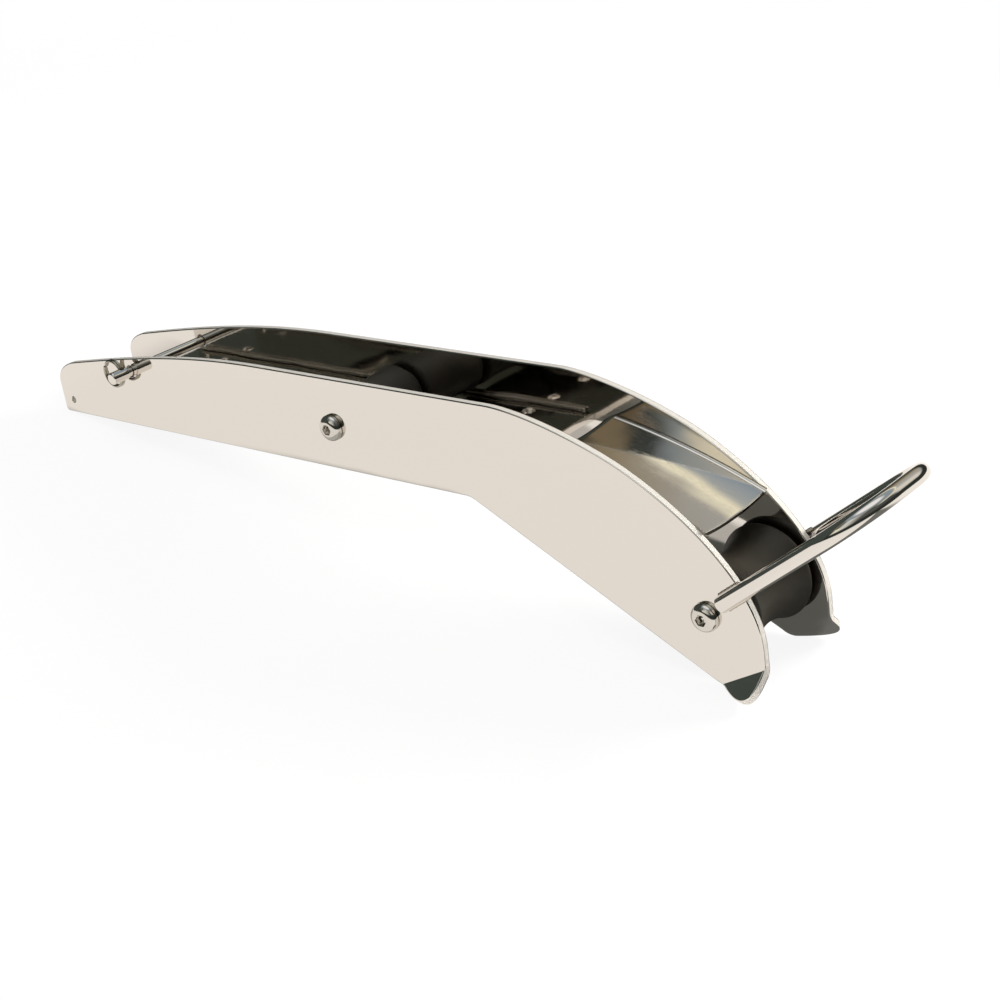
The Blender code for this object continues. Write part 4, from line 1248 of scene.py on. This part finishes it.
table_rear, table_slope = table_frame()
table_mesh = bpy.data.meshes.new("table")
table_mesh.from_pydata([(side * TABLE_HALF, end * TABLE_HALF, 0.0)
                        for side, end in ((-1, -1), (1, -1), (1, 1), (-1, 1))], [], [(0, 1, 2, 3)])
table_mesh.materials.append(table_finish())
table = bpy.data.objects.new("table", table_mesh)
table.matrix_world = (Matrix.Translation(table_rear - Vector((0.0, 0.0, LIFT_OFF)))
                      @ Matrix.Rotation(-table_slope, 4, "Y"))
bpy.context.scene.collection.objects.link(table)

# Surroundings and lamps
# A plain studio: even light from all round for the dull surfaces, and for the polished ones the
# room that they mirror, dark low down, with pale screens on both sides and overhead.

DARK_ROOM = (0.028, 0.034, 0.029, 1.0)
STERN_ROOM = (0.060, 0.073, 0.065, 1.0)
PORT_SCREEN = ((-1.00, (0.03, 0.03, 0.03)), (-0.42, (0.03, 0.03, 0.03)), (-0.39, (0.10, 0.12, 0.12)),
               (-0.35, (0.33, 0.39, 0.43)), (-0.31, (0.80, 0.78, 0.66)), (-0.27, (1.00, 0.96, 0.78)),
               (0.25, (0.60, 0.60, 0.56)), (0.60, (0.10, 0.10, 0.09)))
PORT_UPPER = ((-1.00, (0.03, 0.03, 0.03)), (-0.46, (0.24, 0.19, 0.12)), (-0.37, (0.24, 0.20, 0.13)),
              (-0.345, (0.05, 0.06, 0.06)), (-0.29, (0.06, 0.07, 0.07)), (-0.24, (0.32, 0.38, 0.42)),
              (0.00, (0.80, 0.80, 0.74)), (0.60, (0.10, 0.10, 0.09)))
STARBOARD_SCREEN = ((-1.00, (0.03, 0.03, 0.03)), (-0.48, (0.16, 0.12, 0.07)), (-0.38, (0.28, 0.23, 0.15)),
                    (-0.30, (0.36, 0.32, 0.25)), (-0.18, (0.42, 0.41, 0.38)), (0.05, (0.46, 0.46, 0.44)),
                    (0.35, (0.85, 0.82, 0.74)), (0.55, (0.70, 0.68, 0.62)), (0.70, (0.08, 0.08, 0.08)))
STARBOARD_UPPER = ((0.640, (0.44, 0.41, 0.36)), (0.662, (0.68, 0.64, 0.53)), (0.675, (1.00, 0.95, 0.75)),
                   (0.700, (1.00, 0.93, 0.70)), (0.735, (0.42, 0.45, 0.45)), (0.800, (0.30, 0.36, 0.42)))
OVERHEAD = ((0.80, (0.30, 0.36, 0.42)), (0.90, (0.30, 0.35, 0.38)), (0.96, (1.00, 1.00, 1.00)))
SKY_SEAM = (-0.20, 0.20)
STERN_LIMIT = (-0.56, -0.44)
LOW_LIMIT = (0.22, 0.38)
PORT_UPPER_START = (0.52, 0.57)
STARBOARD_UPPER_START = (0.64, 0.655)
OVERHEAD_START = (0.80, 0.84)
EVEN_LIGHT = 0.50


def room():
    """The polished steel mirrors a dark room with pale screens on both sides and overhead."""
    world = bpy.data.worlds.new("studio")
    bpy.context.scene.world = world
    world.use_nodes = True
    nodes = world.node_tree.nodes
    join = world.node_tree.links.new
    nodes.remove(nodes["Background"])
    place = nodes.new("ShaderNodeTexCoord")
    apart = nodes.new("ShaderNodeSeparateXYZ")
    join(place.outputs["Generated"], apart.inputs["Vector"])

    def share(axis, limits, smooth=True):
        step = nodes.new("ShaderNodeMapRange")
        step.interpolation_type = "SMOOTHSTEP" if smooth else "LINEAR"
        step.inputs["From Min"].default_value = limits[0]
        step.inputs["From Max"].default_value = limits[1]
        join(apart.outputs[axis], step.inputs["Value"])
        return step.outputs["Result"]

    def screen(axis, stops):
        sky = nodes.new("ShaderNodeValToRGB")
        elements = sky.color_ramp.elements
        while len(elements) < len(stops):
            elements.new(0.5)
        for element, (position, colour) in zip(elements, stops):
            element.position = (position + 1) / 2
            element.color = (*colour, 1.0)
        join(share(axis, (-1.0, 1.0), smooth=False), sky.inputs["Fac"])
        return sky.outputs["Color"]

    def blend(first, second, factor):
        mix = nodes.new("ShaderNodeMix")
        mix.data_type = "RGBA"
        for socket, value in (("A", first), ("B", second)):
            if isinstance(value, tuple):
                mix.inputs[socket].default_value = value
            else:
                join(value, mix.inputs[socket])
        join(factor, mix.inputs["Factor"])
        return mix.outputs["Result"]

    port = blend(screen("X", PORT_SCREEN), screen("X", PORT_UPPER), share("Z", PORT_UPPER_START))
    starboard = blend(screen("X", STARBOARD_SCREEN), screen("Z", STARBOARD_UPPER),
                      share("Z", STARBOARD_UPPER_START))
    walls = blend(port, starboard, share("Y", SKY_SEAM))
    walls = blend(walls, screen("Z", OVERHEAD), share("Z", OVERHEAD_START))
    walls = blend(DARK_ROOM, walls, share("Z", LOW_LIMIT))
    walls = blend(STERN_ROOM, walls, share("X", STERN_LIMIT))
    mirrored = nodes.new("ShaderNodeBackground")
    join(walls, mirrored.inputs["Color"])
    even = nodes.new("ShaderNodeBackground")
    even.inputs["Color"].default_value = (1.0, 1.0, 1.0, 1.0)
    even.inputs["Strength"].default_value = EVEN_LIGHT
    white = nodes.new("ShaderNodeBackground")
    white.inputs["Color"].default_value = (1.0, 1.0, 1.0, 1.0)
    path = nodes.new("ShaderNodeLightPath")
    glossy = nodes.new("ShaderNodeMixShader")
    join(path.outputs["Is Glossy Ray"], glossy.inputs["Fac"])
    join(even.outputs["Background"], glossy.inputs[1])
    join(mirrored.outputs["Background"], glossy.inputs[2])
    shown = nodes.new("ShaderNodeMixShader")
    join(path.outputs["Is Camera Ray"], shown.inputs["Fac"])
    join(glossy.outputs["Shader"], shown.inputs[1])
    join(white.outputs["Background"], shown.inputs[2])
    join(shown.outputs["Shader"], nodes["World Output"].inputs["Surface"])


def lamp(name, place, aim, size, watts, colour):
    light = bpy.data.lights.new(name, "AREA")
    light.shape = "RECTANGLE"
    light.size, light.size_y = size
    light.energy = watts
    light.color = colour
    made = bpy.data.objects.new(name, light)
    made.location = place
    made.rotation_mode = "QUATERNION"
    made.rotation_quaternion = (Vector(aim) - Vector(place)).to_track_quat("-Z", "Y")
    made.visible_glossy = False
    bpy.context.scene.collection.objects.link(made)


room()
lamp("starboard_softbox", (1.00, 1.45, 0.62), (0.3, 0.0, 0.0), (1.0, 0.7), 70.0, (1.0, 0.98, 0.93))
lamp("overhead_softbox", (0.1, -0.1, 1.6), (0.1, 0.0, 0.0), (1.0, 0.8), 9.0, (1.0, 0.98, 0.95))

# Camera
# Seen from ahead and to port, a little above, and slightly tilted, as in the photograph. Its lens
# gives the photograph's mild perspective.

CAMERA_PLACE = Vector((0.905545, -0.734493, 0.417397))
CAMERA_AZIMUTH = math.radians(44.10)
CAMERA_ELEVATION = math.radians(23.12)
CAMERA_ROLL = math.radians(-8.74)
CAMERA_LENS = 64.0

back = Vector((math.sin(CAMERA_AZIMUTH) * math.cos(CAMERA_ELEVATION),
               -math.cos(CAMERA_AZIMUTH) * math.cos(CAMERA_ELEVATION), math.sin(CAMERA_ELEVATION)))
level_right = Vector((math.cos(CAMERA_AZIMUTH), math.sin(CAMERA_AZIMUTH), 0.0))
level_up = back.cross(level_right)
right = level_right * math.cos(CAMERA_ROLL) + level_up * math.sin(CAMERA_ROLL)
up = level_up * math.cos(CAMERA_ROLL) - level_right * math.sin(CAMERA_ROLL)
camera_data = bpy.data.cameras.new("camera")
camera_data.lens = CAMERA_LENS
camera_data.sensor_width = 36.0
camera_data.clip_start = 0.05
camera_data.clip_end = 50.0
camera = bpy.data.objects.new("camera", camera_data)
camera.matrix_world = Matrix.Translation(CAMERA_PLACE) @ Matrix((right, up, back)).transposed().to_4x4()
bpy.context.scene.collection.objects.link(camera)
bpy.context.scene.camera = camera
bpy.context.scene.view_settings.view_transform = "Standard"
